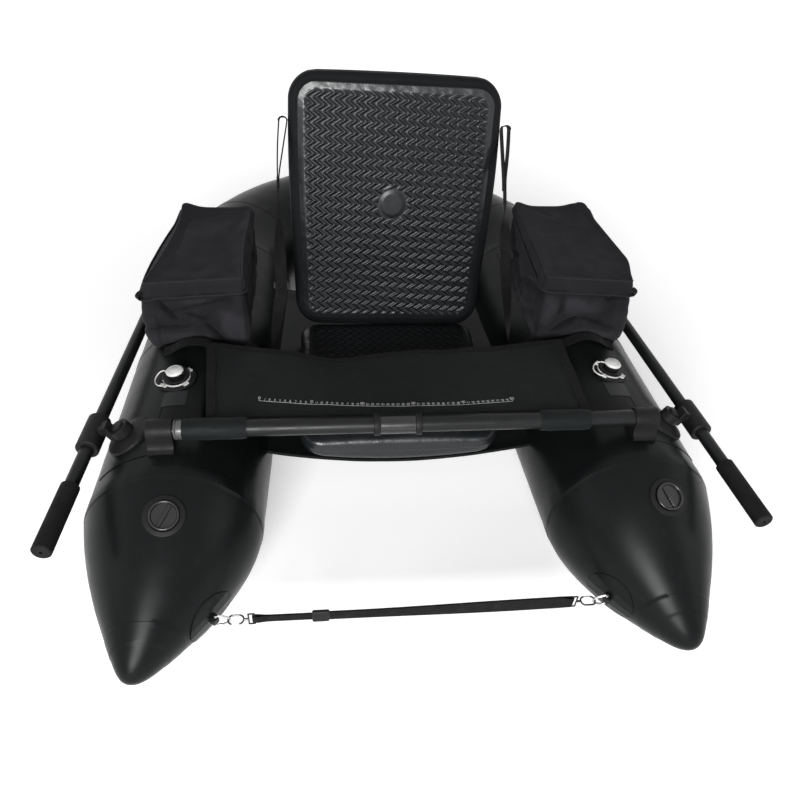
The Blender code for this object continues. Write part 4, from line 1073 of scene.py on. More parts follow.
for word, side in SIDES:
    reach = side * (BACK_WIDTH / 2 + 0.003 + WEB_THICK / 2 + 0.0006)
    top = back_frame @ Vector((reach, BACK_HEIGHT * 0.818, -BACK_THICKNESS * 0.55))
    merge, buckle = merges[side], buckles[side]
    out = ACROSS * side
    run = (merge - buckle).normalized()
    edgewise = run.cross(ACROSS).normalized()
    beside = out * (WEB_THICK + 0.0003)
    spots = [(merge - beside - run * WEB, edgewise), (merge - beside * 0.9, edgewise)]
    spots += [((merge - beside * 0.9).lerp(top, share), edgewise) for share in (0.25, 0.5, 0.75)]
    for k in range(9):
        turn = math.pi * k / 8
        spots.append((top + out * LOOP / 2 * (1 - math.cos(turn)) + UP * LOOP / 2 * math.sin(turn), edgewise))
    beyond = top + out * LOOP
    spots += [(beyond.lerp(merge, share) + out * 0.0015 * math.sin(math.pi * share), edgewise)
              for share in (0.25, 0.5, 0.75)]
    spots += [(merge, edgewise), (merge - run * WEB, edgewise)]
    upper = merge - run * WEB * 2
    over = buckle - edgewise * ((BUCKLE_DEEP + WEB_THICK) / 2 + 0.0003)
    for share in (0, 0.2, 0.4, 0.6, 0.8):
        spots.append((upper.lerp(buckle + run * BUCKLE_LONG * 2, share), edgewise.lerp(ACROSS, share).normalized()))
    spots += [(buckle + run * BUCKLE_LONG * 2, ACROSS), (over + run * BUCKLE_LONG * 0.75, ACROSS),
              (over - run * BUCKLE_LONG * 0.75, ACROSS)]
    bm = strap(strap_run(spots, 3, WEB), WEB_THICK)
    web = place_piece(word + "_back_web", bm, webbing, replaces=[word + "_back_strap"], sharp=50)
    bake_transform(web)
    bm = bmesh.new()
    for drop in (0.25, 0.75):
        box_stitch(bm, merge - run * WEB * drop + out * WEB_THICK * 0.55, run, edgewise, out, WEB * 0.45, WEB * 0.7)
    place_piece(word + "_back_web_thread", bm, thread, "backrest")

    feet = []
    for i, degrees in enumerate((-62, -66, -70, -73)):
        feet.append((on_tube(side, ANCHOR_PLACE, math.radians(degrees), 0.0012 if i else 0.0032)[0], ALONG))
    start = buckle - run * BUCKLE_LONG
    stretch = feet[0][0] - start
    spots = [(buckle + run * BUCKLE_LONG / 2, ACROSS), (start, ACROSS)]
    spots += [(start + stretch * share, ACROSS.lerp(ALONG, share).normalized()) for share in (0.2, 0.4, 0.6, 0.8)]
    bm = strap(strap_run(spots + feet, 5, WEB), WEB_THICK)
    place_piece(word + "_anchor_web", bm, webbing, "hull", [word + "_anchor_strap"], 50)
    bm = bmesh.new()
    point, normal = on_tube(side, ANCHOR_PLACE, math.radians(-71), WEB_THICK * 1.3)
    box_stitch(bm, point, ALONG.cross(normal), ALONG, normal, WEB * 0.5, WEB * 0.7)
    place_piece(word + "_anchor_thread", bm, thread, "hull")
print("backrest straps")

# %% [markdown]
# ## Bag plan
#
# Each bag is a soft box of Oxford nylon. A cube with a modifier would stay square, and a cloth simulation would lose
# the measured outline. So one plan is moved in and out at every height, and the rings are lofted.

# %%
BAG_FRONT, BAG_LENGTH = 0.312, 0.318
BAG_INNER, BAG_OUTER, BAG_OUTER_STERN = 0.31, 0.508, 0.464
BAG_BASE, BAG_RIM, BAG_RIM_RISE = 0.292, 0.428, 0.02
BAG_CORNER, BAG_CORNER_LEAST = 0.011, 0.0045
TURN_STEPS, SIDE_STEPS = 6, 46


def quad_outline(corners, radius):
    """A four-sided outline with round corners and even points along its sides."""
    stretches = []
    for i, corner in enumerate(corners):
        before = (corners[i - 1] - corner).normalized()
        after = (corners[(i + 1) % 4] - corner).normalized()
        half = before.angle(after) / 2
        centre = corner + (before + after).normalized() * radius / math.sin(half)
        first = corner + before * radius / math.tan(half)
        last = corner + after * radius / math.tan(half)
        middle = (first - centre).angle(last - centre)
        sign = 1 if before.cross(after) < 0 else -1
        points = []
        for step in range(TURN_STEPS + 1):
            arm = (first - centre).copy()
            arm.rotate(Matrix.Rotation(sign * middle * step / TURN_STEPS, 2))
            points.append(centre + arm)
        stretches.append(points)
    outline = []
    for i, points in enumerate(stretches):
        outline += points
        following = stretches[(i + 1) % 4][0]
        outline += [points[-1].lerp(following, step / SIDE_STEPS) for step in range(1, SIDE_STEPS)]
    return outline


def bag_plan(side, inset):
    """The bag's plan with every wall moved in by inset: inner front, outer front, outer rear, inner rear."""
    slant = (BAG_OUTER - BAG_OUTER_STERN) / BAG_LENGTH
    near, far = BAG_FRONT + inset, BAG_FRONT + BAG_LENGTH - inset

    def outer(distance):
        """How far out the outer wall stands, this far behind the bar."""
        return BAG_OUTER - slant * (distance - BAG_FRONT) - inset * math.hypot(1, slant)

    corners = [Vector((BAG_INNER + inset, near)), Vector((outer(near), near)),
               Vector((outer(far), far)), Vector((BAG_INNER + inset, far))]
    outline = quad_outline(corners, max(BAG_CORNER - inset, BAG_CORNER_LEAST))
    return [Vector((side * p.x, behind(p.y))) for p in outline]


def bag_shares(p):
    """Where a point of the plan lies: share of the way from front to rear, and from the inner to the outer side."""
    along = min(max((p.y - behind(BAG_FRONT)) / BAG_LENGTH, 0), 1)
    outer = BAG_OUTER - (BAG_OUTER - BAG_OUTER_STERN) * along
    return along, min(max((abs(p.x) - BAG_INNER) / (outer - BAG_INNER), 0), 1)


def rim_height(y):
    """The height of the plain rim, which rises towards the rear."""
    return BAG_RIM + BAG_RIM_RISE * (y - behind(BAG_FRONT)) / BAG_LENGTH


print("bag plan of", len(bag_plan(1, 0)), "points")

# %% [markdown]
# ## Bag folds
#
# Half-empty bags slump and crease. Noise alone gives an even crumple, and the photograph shows a few long creases, so
# those are drawn one by one over the noise. Their depth is also kept on the mesh, where the nylon paints it as
# highlight on the ridges and shade in the grooves.

# %%
def ridge(x, y, a, b, width):
    """1 on the line from a to b, and less away from it: a crease, seen on the unrolled cloth."""
    ax, ay = a
    bx, by = b
    length = (bx - ax) ** 2 + (by - ay) ** 2
    t = min(max(((x - ax) * (bx - ax) + (y - ay) * (by - ay)) / length, 0), 1)
    off = math.hypot(x - ax - t * (bx - ax), y - ay - t * (by - ay))
    return math.exp(-(off / width) ** 2) * (0.35 + 0.65 * math.sin(math.pi * (0.15 + 0.7 * t)))


# Creases: from and to, as (share across from the inner corner, share up), then width and depth.
FRONT_CREASES = {
    -1: (((0.9, 0.84), (0.73, 0.48), 0.035, -0.009), ((0.82, 0.76), (0.2, 0.84), 0.06, 0.006),
         ((0.74, 0.6), (0.16, 0.76), 0.03, -0.007), ((0.4, 0.36), (0.26, 0.1), 0.035, -0.01),
         ((0.6, 0.56), (0.44, 0.46), 0.045, -0.007), ((0.95, 0.2), (0.46, 0.2), 0.1, 0.009),
         ((0.08, 0.15), (0.2, 0.55), 0.12, 0.006), ((0.98, 0.36), (0.62, 0.34), 0.04, -0.006)),
    1: (((0.24, 0.82), (0.23, 0.5), 0.035, -0.009), ((0.3, 0.64), (0.66, 0.6), 0.12, 0.007),
        ((0.22, 0.22), (0.42, 0.42), 0.05, -0.01), ((0.52, 0.42), (0.84, 0.26), 0.04, -0.008),
        ((0.62, 0.9), (0.75, 0.74), 0.035, -0.008), ((0.75, 0.74), (0.97, 0.78), 0.035, -0.007),
        ((0.1, 0.75), (0.12, 0.3), 0.09, 0.006), ((0.5, 0.14), (0.95, 0.12), 0.08, 0.007))}
SIDE_CREASES = (((0.05, 0.8), (0.5, 0.45), 0.05, -0.007), ((0.45, 0.3), (0.95, 0.75), 0.05, -0.007),
                ((0.2, 0.15), (0.7, 0.2), 0.06, 0.004), ((0.6, 0.9), (0.8, 0.3), 0.04, -0.004),
                ((0.1, 0.4), (0.35, 0.1), 0.035, -0.004))


def wall_push(side, p, share_up, seed):
    """How far a point of the bag's wall is pushed out or in by its folds."""
    along, across = bag_shares(p)
    fade = math.sin(math.pi * min(max(share_up, 0), 1)) ** 0.5
    push = 0.0045 * fade * wander(p.x * 19, p.y * 19, share_up * 2.4 + seed)
    push += 0.003 * fade * crumple(p.x * 34, p.y * 34, share_up * 4 + seed)
    push += 0.0012 * fade * wander(p.x * 75, p.y * 75, share_up * 10 + seed)
    if along < 0.04:
        for a, b, width, depth in FRONT_CREASES[side]:
            push += fade * depth * ridge(across, share_up, a, b, width)
    elif along < 0.95:
        for (ax, ay), (bx, by), width, depth in SIDE_CREASES:
            if across > 0.5:
                ax, bx = 1 - ax, 1 - bx
            push += fade * depth * ridge(along, share_up, (ax, ay), (bx, by), width)
    return push


def mark_folds(piece, heights):
    """Writes each vertex's fold value, which the nylon paints as highlight on ridges and as shade in grooves."""
    layer = piece.data.attributes.new("fold", "FLOAT", "POINT")
    layer.data.foreach_set("value", heights + [0.0] * (len(piece.data.vertices) - len(heights)))


print("creases:", [len(FRONT_CREASES[side]) for _, side in SIDES], "in front,", len(SIDE_CREASES), "on each side")

# %% [markdown]
# ## Bag lids' lines
#
# The lids hang over the bags' rims like soft hats: high in front, with peaks at the rear corners, drawn in or bulging
# along their sides. Each of these is a small function of the place on the plan, which the bag's walls read as well,
# so that wall and lid keep together. One plain lid form for both sides would miss how different the two bags are.

# %%
LID_GAP, LID_WALL, LID_SKIRT, LID_REAR = 0.0008, 0.0028, 0.033, 0.012
RIM_DROP = 0.0048


def lid_height(p):
    """The height of the lid's edge: most in front and inside, and up in peaks at its rear corners."""
    along, across = bag_shares(p)
    left = p.x < 0
    front = 0.0235 + 0.0125 * (1 - across)
    rear = 0.004 if left else 0.0125
    inner_rear = math.hypot(along - 1, (across - 0.02) * 0.6)
    outer_rear = math.hypot(along - 1, (across - 0.98) * 0.6)
    lift = front + (rear - front) * along ** 0.9
    lift += (0.004 if left else 0.011) * math.exp(-(inner_rear / 0.1) ** 2)
    return rim_height(p.y) + (lift + (0.011 if left else 0.0085) * math.exp(-(outer_rear / 0.1) ** 2))


def edge_pull(p, normal):
    """How far the lid's top edge is drawn in here: along the long sides, but the right lid's outer side stands out."""
    along, across = bag_shares(p)
    sideways = soft_step(abs(normal.x), 0.3, 0.95)
    if across < 0.5:
        return 0.008 * math.sin(math.pi * along) ** 0.7 * sideways
    if p.x < 0:
        return 0.011 * math.sin(math.pi * along) ** 0.7 * sideways
    return (0.008 - 0.027 * soft_step(along, -0.02, 0.3)) * sideways


def edge_bulge(p, normal):
    """How far the lid's low edge and the wall under it swell out along the outer side."""
    along, across = bag_shares(p)
    if across < 0.5:
        return 0
    swell = 0.0165 * math.sin(math.pi * along ** 0.66) if p.x < 0 else 0.029 * soft_step(along, 0, 0.32)
    return swell * soft_step(abs(normal.x), 0.3, 0.95)


def flat_out(normal, distance):
    """This far along a normal of the plan."""
    return Vector((normal.x, normal.y, 0)) * distance


class Bag:
    """One side's bag, as its plan with the wall's outward directions, and the lines that its lid follows."""

    def __init__(self, word, side):
        self.word, self.side = word, side
        self.outline = bag_plan(side, 0)
        self.inner, self.outer = bag_plan(side, 0.0005), bag_plan(side, -LID_GAP - LID_WALL)
        count = len(self.outline)
        centre = sum(self.outline, Vector((0, 0))) / count
        self.outward = []
        for i in range(count):
            way = self.outline[(i + 1) % count] - self.outline[i - 1]
            normal = Vector((way.y, -way.x)).normalized()
            self.outward.append(normal if normal.dot(self.outline[i] - centre) > 0 else -normal)

    def skirt_low(self, p):
        """The height of the skirt's low edge."""
        along, _ = bag_shares(p)
        wave = 0.0012 * wander(p.x * 26, p.y * 26, self.side * 2)
        return lid_height(p) - LID_SKIRT + (LID_SKIRT - LID_REAR) * along**1.5 + wave

    def corner_out(self, p):
        """How far the skirt's outer front corner stands out, where the zip ends."""
        along, across = bag_shares(p)
        stand_out = 0.009 if self.side < 0 else 0.003
        return stand_out * math.exp(-(math.hypot(along, (1 - across) * 0.6) / 0.055) ** 2)

    def drawn_in(self, plan):
        """The plan as it lies at the lid's edge."""
        return [p - normal * edge_pull(p, normal) for p, normal in zip(plan, self.outward)]

    def flared(self, plan, off=0.0):
        """The plan as it lies at the skirt's low edge, and this much further out."""
        return [p + n * (edge_bulge(p, n) + off) for p, n in zip(plan, self.outward)]

    def raised(self, plan, rise):
        """The plan drawn in, at the height of the lid's edge and this much more."""
        return [Vector((p.x, p.y, lid_height(p) + rise)) for p in self.drawn_in(plan)]

    def skirt_line(self, off, rise, share=1.0):
        """A line round the skirt, this far out from its low edge and above it."""
        return [Vector((q.x, q.y, self.skirt_low(p) + rise)) + flat_out(n, self.corner_out(p) * share)
                for p, q, n in zip(self.outer, self.flared(self.outer, off), self.outward)]


bags = [Bag(word, side) for word, side in SIDES]
print("lids' edges from", [round(min(lid_height(p) for p in bag.outer), 3) for bag in bags],
      "to", [round(max(lid_height(p) for p in bag.outer), 3) for bag in bags])

# %% [markdown]
# ## Bag shells
#
# The shell rises from its base to the rim in 34 rings, which droop and slump, carry the creases, and draw in under the
# lid's skirt. Extruding the base would give straight walls, so every ring works out its own place.

# %%
SHELL_ROWS = 34
for bag in bags:
    side = bag.side
    sections, folds = [], [0.0] * len(bag.outline)
    for j in range(SHELL_ROWS + 1):
        share = j / SHELL_ROWS
        ring = []
        for p, normal in zip(bag.outline, bag.outward):
            _, across = bag_shares(p)
            top, low = lid_height(p) - RIM_DROP, bag.skirt_low(p)
            droop = 0.009 * max(0, across - 0.6) / 0.4 * (1 - share) ** 2
            z = BAG_BASE + 0.004 - droop + (top - BAG_BASE - 0.004 + droop) * share
            under = min(max((z - low) / (top - low), 0), 1)
            near = soft_step(z, low - 0.014, low - 0.002)
            belly = (0.011 if side < 0 else 0.008) if across > 0.9 else 0.004
            slump = belly * math.sin(math.pi * share ** 0.6) ** 1.2 - 0.005 * (1 - share) ** 6
            swell = edge_bulge(p, normal) * min(1, share / 0.75) ** 0.8
            push = wall_push(side, p, share, 3 + side) * (1 - 0.8 * near)
            off = slump * (1 - near) + swell * (1 - under) - edge_pull(p, normal) * under + push
            off -= (0.0042 + 0.004 * max(0, -normal.y)) * near
            ring.append(Vector((p.x + normal.x * off, p.y + normal.y * off, z)))
            # Painted shade: the inner wall, which faces the seat, and the tuck under the skirt are darker; the creases'
            # depth paints highlight and shade.
            shade = -0.005 if across < 0.06 and normal.x * side < -0.5 else 0
            folds.append(push * 1.2 + shade - 0.009 * soft_step(z, low - 0.01, low - 0.002))
        sections.append(ring)
    base = [Vector((p.x, p.y, BAG_BASE - 0.009 * max(0, bag_shares(p)[1] - 0.6) / 0.4))
            for p in bag_plan(side, 0.006)]
    inner_top = bag.raised(bag_plan(side, 0.008), -RIM_DROP)
    inner_low = [Vector((p.x, p.y, 0.326)) for p in bag_plan(side, 0.0085)]
    shell = place_piece(bag.word + "_bag_shell", loft([base] + sections + [inner_top, inner_low]), nylon, "hull",
                        [bag.word + "_side_bag"], 60)
    mark_folds(shell, folds)
    print(shell.name, len(shell.data.polygons), "faces")

# %% [markdown]
# ## Bag lids
#
# Each lid goes up inside its skirt, down to the skirt's edge, up outside it and over to the middle, where it sags. A
# sheet draped over the bag would sag right but lose the crisp skirt, so the lid is one loft with a soft top.

# %%
for bag in bags:
    side, inner, outer = bag.side, bag.inner, bag.outer
    foot = [q + n * bag.corner_out(p) for p, q, n in zip(outer, bag.flared(outer, 0.001), bag.outward)]
    sections = [bag.raised(inner, -0.004),
                [Vector((q.x, q.y, bag.skirt_low(p))) for p, q in zip(inner, bag.flared(inner))],
                [Vector((q.x, q.y, bag.skirt_low(p) - 0.0006)) for p, q in zip(outer, foot)]]
    for share in (0.12, 0.25, 0.38, 0.5, 0.62, 0.75, 0.88):
        ring = []
        for p, r, q, normal in zip(outer, bag.flared(outer), bag.drawn_in(outer), bag.outward):
            low, high = bag.skirt_low(p), lid_height(q) - LID_WALL
            push = 0.0028 * wander(p.x * 40, p.y * 40, share * 2 + side)
            push += 0.002 * crumple(p.x * 30, p.y * 30, share * 2 + side + 5)
            push *= math.sin(math.pi * share)
            spot = r.lerp(q, share) + normal * (push + bag.corner_out(p) * (1 - share))
            ring.append(Vector((spot.x, spot.y, low + (high - low) * share)))
        sections.append(ring)
    for inset, rise in ((-LID_GAP - LID_WALL, -LID_WALL), (-0.001, 0.0012), (0.003, 0.002), (0.006, 0.0008)):
        sections.append(bag.raised(bag_plan(side, inset), rise))
    crown = bag.drawn_in(bag_plan(side, 0.006))
    middle = sum(crown, Vector((0, 0))) / len(crown)
    for share in (0.04, 0.09, 0.15, 0.22, 0.3, 0.38, 0.46, 0.54, 0.62, 0.7, 0.78, 0.86, 0.93, 0.98):
        ring = []
        for p in crown:
            q = p.lerp(middle, share)
            x, y = q.x * side, q.y - behind(BAG_FRONT)
            sag = 0.0075 * math.sin(math.pi / 2 * min(1, share * 1.7)) + 0.0022 * wander(q.x * 15, q.y * 15, side * 3)
            sag += 0.0012 * crumple(q.x * 27, q.y * 20, side * 4)
            sag += 0.0016 * ridge(x, y, (0.35, 0.05), (0.44, 0.24), 0.02)
            sag -= 0.0014 * ridge(x, y, (0.33, 0.2), (0.46, 0.08), 0.022)
            ring.append(Vector((q.x, q.y, lid_height(q) + 0.0008 - sag)))
        sections.append(ring)
    lid = place_piece(bag.word + "_lid_shell", loft(sections), nylon, bag.word + "_lid", [bag.word + "_bag_lid"],
                      60)
    print(lid.name, len(lid.data.polygons), "faces")

# %% [markdown]
# ## Piping and zips
#
# Cord under the nylon pipes the lid's two edges, a coil zip runs round the skirt on three sides, and its end is
# covered by a webbing loop. An array on a curve would bunch the teeth at the corners, so they are set one by one.

# %%
TOOTH, TOOTH_STEP = (0.0018, 0.0026, 0.004, 1), 0.0032
for bag in bags:
    word, side = bag.word, bag.side
    bm = bmesh.new()
    rod([p + UP * 0.0004 for p in bag.raised(bag_plan(side, -0.0004), 0.0012)], 0.0024, 6, closed=True, bm=bm)
    rod(bag.skirt_line(0.0012, 0.0012), 0.0018, 6, closed=True, bm=bm)
    piping = place_piece(word + "_lid_piping", bm, nylon, word + "_lid")
    # The piping is painted paler all round, as a highlight along the lid's edges.
    mark_folds(piping, [0.004] * len(piping.data.vertices))

    bm = bmesh.new()
    track = bag.skirt_line(-0.0012, 0.0045, 0.9)
    for a, b in zip(track, track[1:]):
        if min(a.y, b.y) > behind(BAG_FRONT + BAG_LENGTH - 0.03):
            continue
        steps = max(1, round((b - a).length / TOOTH_STEP))
        way = (b - a).normalized()
        for k in range(steps):
            spot = a.lerp(b, (k + 0.5) / steps)
            tooth = Matrix.Translation(spot) @ Matrix((way, UP.cross(way), UP)).transposed().to_4x4()
            bmesh.ops.create_cube(bm, size=1, matrix=tooth @ Matrix.Diagonal(TOOTH))
    place_piece(word + "_zip_teeth", bm, plastic, word + "_lid")

    p, q, n = max(zip(bag.outer, bag.flared(bag.outer), bag.outward), key=lambda spot: spot[0].x * side - spot[0].y)
    out = flat_out(n, 1)
    corner = Vector((q.x, q.y, bag.skirt_low(p) + 0.008)) + out * (bag.corner_out(p) - 0.0045)
    loop = [corner + out * 0.0105 * math.sin(math.pi * k / 12) + UP * 0.008 * math.cos(math.pi * k / 12)
            for k in range(13)]
    bm = strap([(spot, out.cross(UP), 0.012) for spot in loop], 0.0022, 4)
    place_piece(word + "_zip_end", bm, webbing, word + "_lid")
print("piping, teeth and zip ends on", len(bags), "lids")

# %% [markdown]
# ## Apron
#
# The apron hangs between the crossbar and the bags: it sags, dips left of its middle and has puckers along the bar. A
# simulated cloth would hang as well, but its rear edge has to follow the photograph's, so the folds are laid over a
# measured surface.

# %%
BAR_Z, BAR_R = 0.352, 0.0155
APRON_START = 0.0204


def apron_reach(u, v):
    """How far behind the bar the row v would end."""
    hollow = 0.012 * math.sin(math.pi * min(max(u, 0), 1)) + 0.008 * math.exp(-((u - 0.25) / 0.12) ** 2)
    return 0.262 + (0.013 - hollow) * v


def apron_ends(v):
    """The x of the apron's left and right ends in the row v."""
    return -0.366 - 0.026 * v, 0.345 + 0.017 * v


def apron_at(u, v):
    """The apron's surface without its folds."""
    left, far = apron_ends(v)
    sag = 0.019 * math.sin(math.pi * min(max(u, 0), 1)) * (0.25 + 0.75 * v)
    dip = 0.0195 * math.exp(-((u - 0.355) / 0.09) ** 2) * v**3
    height = BAR_Z + (0.331 - 0.003 * u - BAR_Z) * v - sag - dip
    return Vector((left + (far - left) * u, behind(APRON_START + (apron_reach(u, v) - APRON_START) * v), height))


def apron_point(u, v):
    """The apron's upper face, with the folds of hanging cloth."""
    point = apron_at(u, v)
    hang = math.sin(math.pi * u) * math.sin(math.pi * min(v * 1.15, 1)) ** 0.7
    fold = 0.0022 * wander(u * 5.3, v * 1.4, 4) + 0.0012 * wander(u * 17, v * 3.3, 9)
    drawn = 0.0016 * math.exp(-(v / 0.16) ** 2) * math.sin(u * 71 + 1.3 * math.sin(u * 13))
    corners = 0.0028 * (math.exp(-((u - 0.03) / 0.06) ** 2) * math.sin(v * 15)
                        + math.exp(-((u - 0.97) / 0.06) ** 2) * math.sin(v * 13 + 1))
    edge = 0.0022 * max(0, v - 0.72) / 0.28 * math.sin(u * 27 + 2 * math.sin(u * 9))
    point.z += fold * hang + drawn * hang + corners * 0.6 + edge * math.sin(math.pi * u)
    return point


apron = place_piece("apron_cloth", sheet_body(150, 54, apron_point, 0.0022), cloth, "hull", ["apron_panel"],
                    40)
print(apron.name, len(apron.data.polygons), "faces")

# %% [markdown]
# ## Apron's bindings and stitching
#
# Tape binds all four edges and is sewn down. A thicker rim of the cloth itself would need no extra piece, but it
# wouldn't show the tape's own weave.

# %%
bm = bmesh.new()
for v, width in ((0.975, 0.017), (0.02, 0.012)):
    run = [(apron_point(i / 90, v) + UP * 0.0009, ALONG, width) for i in range(91)]
    strap(run, 0.0022, 4, bm)
for u, width in ((0.014, 0.015), (0.986, 0.017)):
    run = [(apron_point(u, i / 30) + UP * 0.0009, ACROSS, width) for i in range(31)]
    strap(run, 0.0022, 4, bm)
place_piece("apron_binding", bm, webbing, "hull")

bm = bmesh.new()
for v in (0.937, 0.05):
    stitches(bm, [apron_point(i / 200, v) + UP * THREAD for i in range(4, 197)], UP, 0.0036, 0.002)
for u in (0.033, 0.967):
    stitches(bm, [apron_point(u, i / 60) + UP * THREAD for i in range(3, 57)], UP, 0.0036, 0.002)
place_piece("apron_thread", bm, thread, "hull")
print("apron bound and stitched")

# %% [markdown]
# ## Ruler
#
# The ruler is printed on the apron: fifty steps of 9.6 mm, a mark at each and its number over the mark, larger at the
# tens. Print could be a texture, but the part holds none, so the ink is a very thin raised layer: straight strokes
# that lie on the folds of the cloth. The digits are made of seven bars, as on a pocket calculator.

# %%
RULER_LEFT, RULER_STEP, RULER_STEPS = -0.276, 0.0096, 50
# A mark's length; its number's width, height, pitch and height above the line; the number's stroke.
TENS = (0.0045, 0.0029, 0.0062, 0.0042, 0.006, 0.0011)
ONES = (0.0028, 0.0019, 0.0048, 0.003, 0.0042, 0.0008)


def on_apron(x, distance):
    """The point of the apron at this x and this far behind the bar."""
    v = (distance - APRON_START) / 0.23
    for _ in range(6):
        left, far = apron_ends(v)
        u = (x - left) / (far - left)
        v = (distance - APRON_START) / (apron_reach(u, v) - APRON_START)
    return apron_point(u, v)


DIGITS = {"0": "abcdef", "1": "bc", "2": "abged", "3": "abgcd", "4": "fgbc", "5": "afgcd", "6": "afgedc",
          "7": "abc", "8": "abcdefg", "9": "gfabcd"}
BARS = {"a": ((0, 1), (1, 1)), "b": ((1, 1), (1, 0.5)), "c": ((1, 0.5), (1, 0)), "d": ((1, 0), (0, 0)),
        "e": ((0, 0), (0, 0.5)), "f": ((0, 0.5), (0, 1)), "g": ((0, 0.5), (1, 0.5))}


def printed(bm, points, width):
    """A thin printed line on the cloth."""
    path = [on_apron(x, d) + UP * 0.00065 for x, d in points]
    run = (path[-1] - path[0]).normalized()
    strap([(p, UP.cross(run), width) for p in path], 0.0003, 1, bm)


def ruler_line(x):
    """The ruler's line bows towards the bar in its middle."""
    return 0.058 + 0.024 * ((x - 0.05) / 0.33) ** 2


bm = bmesh.new()
line = [RULER_LEFT + RULER_STEP * RULER_STEPS * i / 60 for i in range(61)]
printed(bm, [(x, ruler_line(x)) for x in line], 0.001)
for i in range(RULER_STEPS + 1):
    x = RULER_LEFT + RULER_STEP * i
    base = ruler_line(x)
    tall, wide, high, pitch, rise, stroke = TENS if i % 10 == 0 else ONES
    printed(bm, [(x, base), (x, base + tall)], 0.0011)
    for n, digit in enumerate(str(i)):
        low = x + pitch * (n - len(str(i)) / 2) + (pitch - wide) / 2
        foot = base + rise
        for bar in DIGITS[digit]:
            (ax, ay), (bx, by) = BARS[bar]
            printed(bm, [(low + ax * wide, foot + ay * high), (low + bx * wide, foot + by * high)], stroke)
place_piece("apron_ruler", bm, print_ink, "hull")

print("ruler with", RULER_STEPS + 1, "marks")

# %% [markdown]
# ## Apron's sleeves
#
# Two loose sleeves hold the apron's ends on the crossbar. Each is an open tube of cloth: a grid bent round the bar,
# outside and inside, closed along its edges. A solidify modifier could give the cloth its thickness, but the inside
# has to keep off the bar, so both surfaces are drawn.

# %%
SLEEVE_ROWS, SLEEVE_TURNS, SLEEVE_INSIDE = 16, 24, 0.87
bm = bmesh.new()
for middle, length in ((-0.3485, 0.111), (0.287, 0.094)):
    outer, inner = [], []
    for i in range(SLEEVE_ROWS + 1):
        s = i / SLEEVE_ROWS
        x = middle + (s - 0.5) * length
        ring = []
        for k in range(SLEEVE_TURNS + 1):
            turn = math.radians(-62 + 304 * k / SLEEVE_TURNS)
            loose = 0.0195 + 0.0011 * wander(x * 60, turn * 1.4, 3) + 0.0004 * math.sin(9 * turn + 50 * x)
            loose -= 0.0012 * abs(2 * s - 1) ** 8
            ring.append(Vector((x, BAR_Y - math.cos(turn) * loose, BAR_Z + math.sin(turn) * loose)))
        outer.append([bm.verts.new(p) for p in ring])
        inner.append([bm.verts.new((p.x, BAR_Y + (p.y - BAR_Y) * SLEEVE_INSIDE, BAR_Z + (p.z - BAR_Z) * SLEEVE_INSIDE))
                      for p in ring])
    for strip in (outer, inner, (outer[0], inner[0]), (outer[-1], inner[-1]),
                  [[row[0] for row in outer], [row[0] for row in inner]],
                  [[row[-1] for row in outer], [row[-1] for row in inner]]):
        grid_faces(bm, strip)
place_piece("apron_sleeves", bm, cloth, "hull", ["left_apron_tab", "right_apron_tab"], 40)
print("two sleeves")

# %% [markdown]
# ## Crossbar
#
# Two lacquered tubes meet in a joint with two raised rings. A moulded holder with a thin lip at its foot carries each
# end, and a bright ferrule shows between the left holder and the apron's sleeve. Cylinders would do for the tubes, but
# all these parts are turned, so one profile each, spun about the bar's axis, gives their rounded edges too.

# %%
SPIN = 72
def along_bar(x):
    """A frame on the bar's axis whose Z runs to the right."""
    return Matrix.Translation((x, BAR_Y, BAR_Z)) @ Matrix.Rotation(math.pi / 2, 4, "Y")


JOINT = -0.035
for word, low, high in (("left", -0.455, JOINT - 0.00015), ("right", JOINT + 0.00015, 0.43)):
    shape = [(0, low), (BAR_R - 0.001, low), (BAR_R, low + 0.001), (BAR_R, high - 0.001), (BAR_R - 0.001, high),
             (0, high)]
    place_piece(word + "_bar", turned(shape, SPIN, along_bar(0)), lacquer, "crossbar", [word + "_bar_tube"],
                35)

JOINT_MIDDLE = -0.0245
half, ring_long, ring_high, bore = 0.0435, 0.0115, 0.0205, BAR_R + 0.0003
shape = [(bore, -half), (ring_high - 0.0015, -half), (ring_high - 0.0004, -half + 0.0005), (ring_high, -half + 0.0016),
         (ring_high, -half + ring_long - 0.0016), (ring_high - 0.0005, -half + ring_long - 0.0004),
         (0.0184, -half + ring_long), (0.0176, -half + ring_long + 0.0006)]
shape += [(r, -z) for r, z in reversed(shape)]
joint = turned(shape, SPIN, along_bar(JOINT_MIDDLE), closed=True)
for face in joint.faces:
    off = abs(face.calc_center_median().x - JOINT_MIDDLE)
    face.material_index = 1 if off < half - ring_long + 0.0004 else 0
joint = place_piece("bar_joint_sleeve", joint, dull_plastic, "crossbar", ["bar_joint"], 35)
joint.data.materials.append(gloss_plastic)

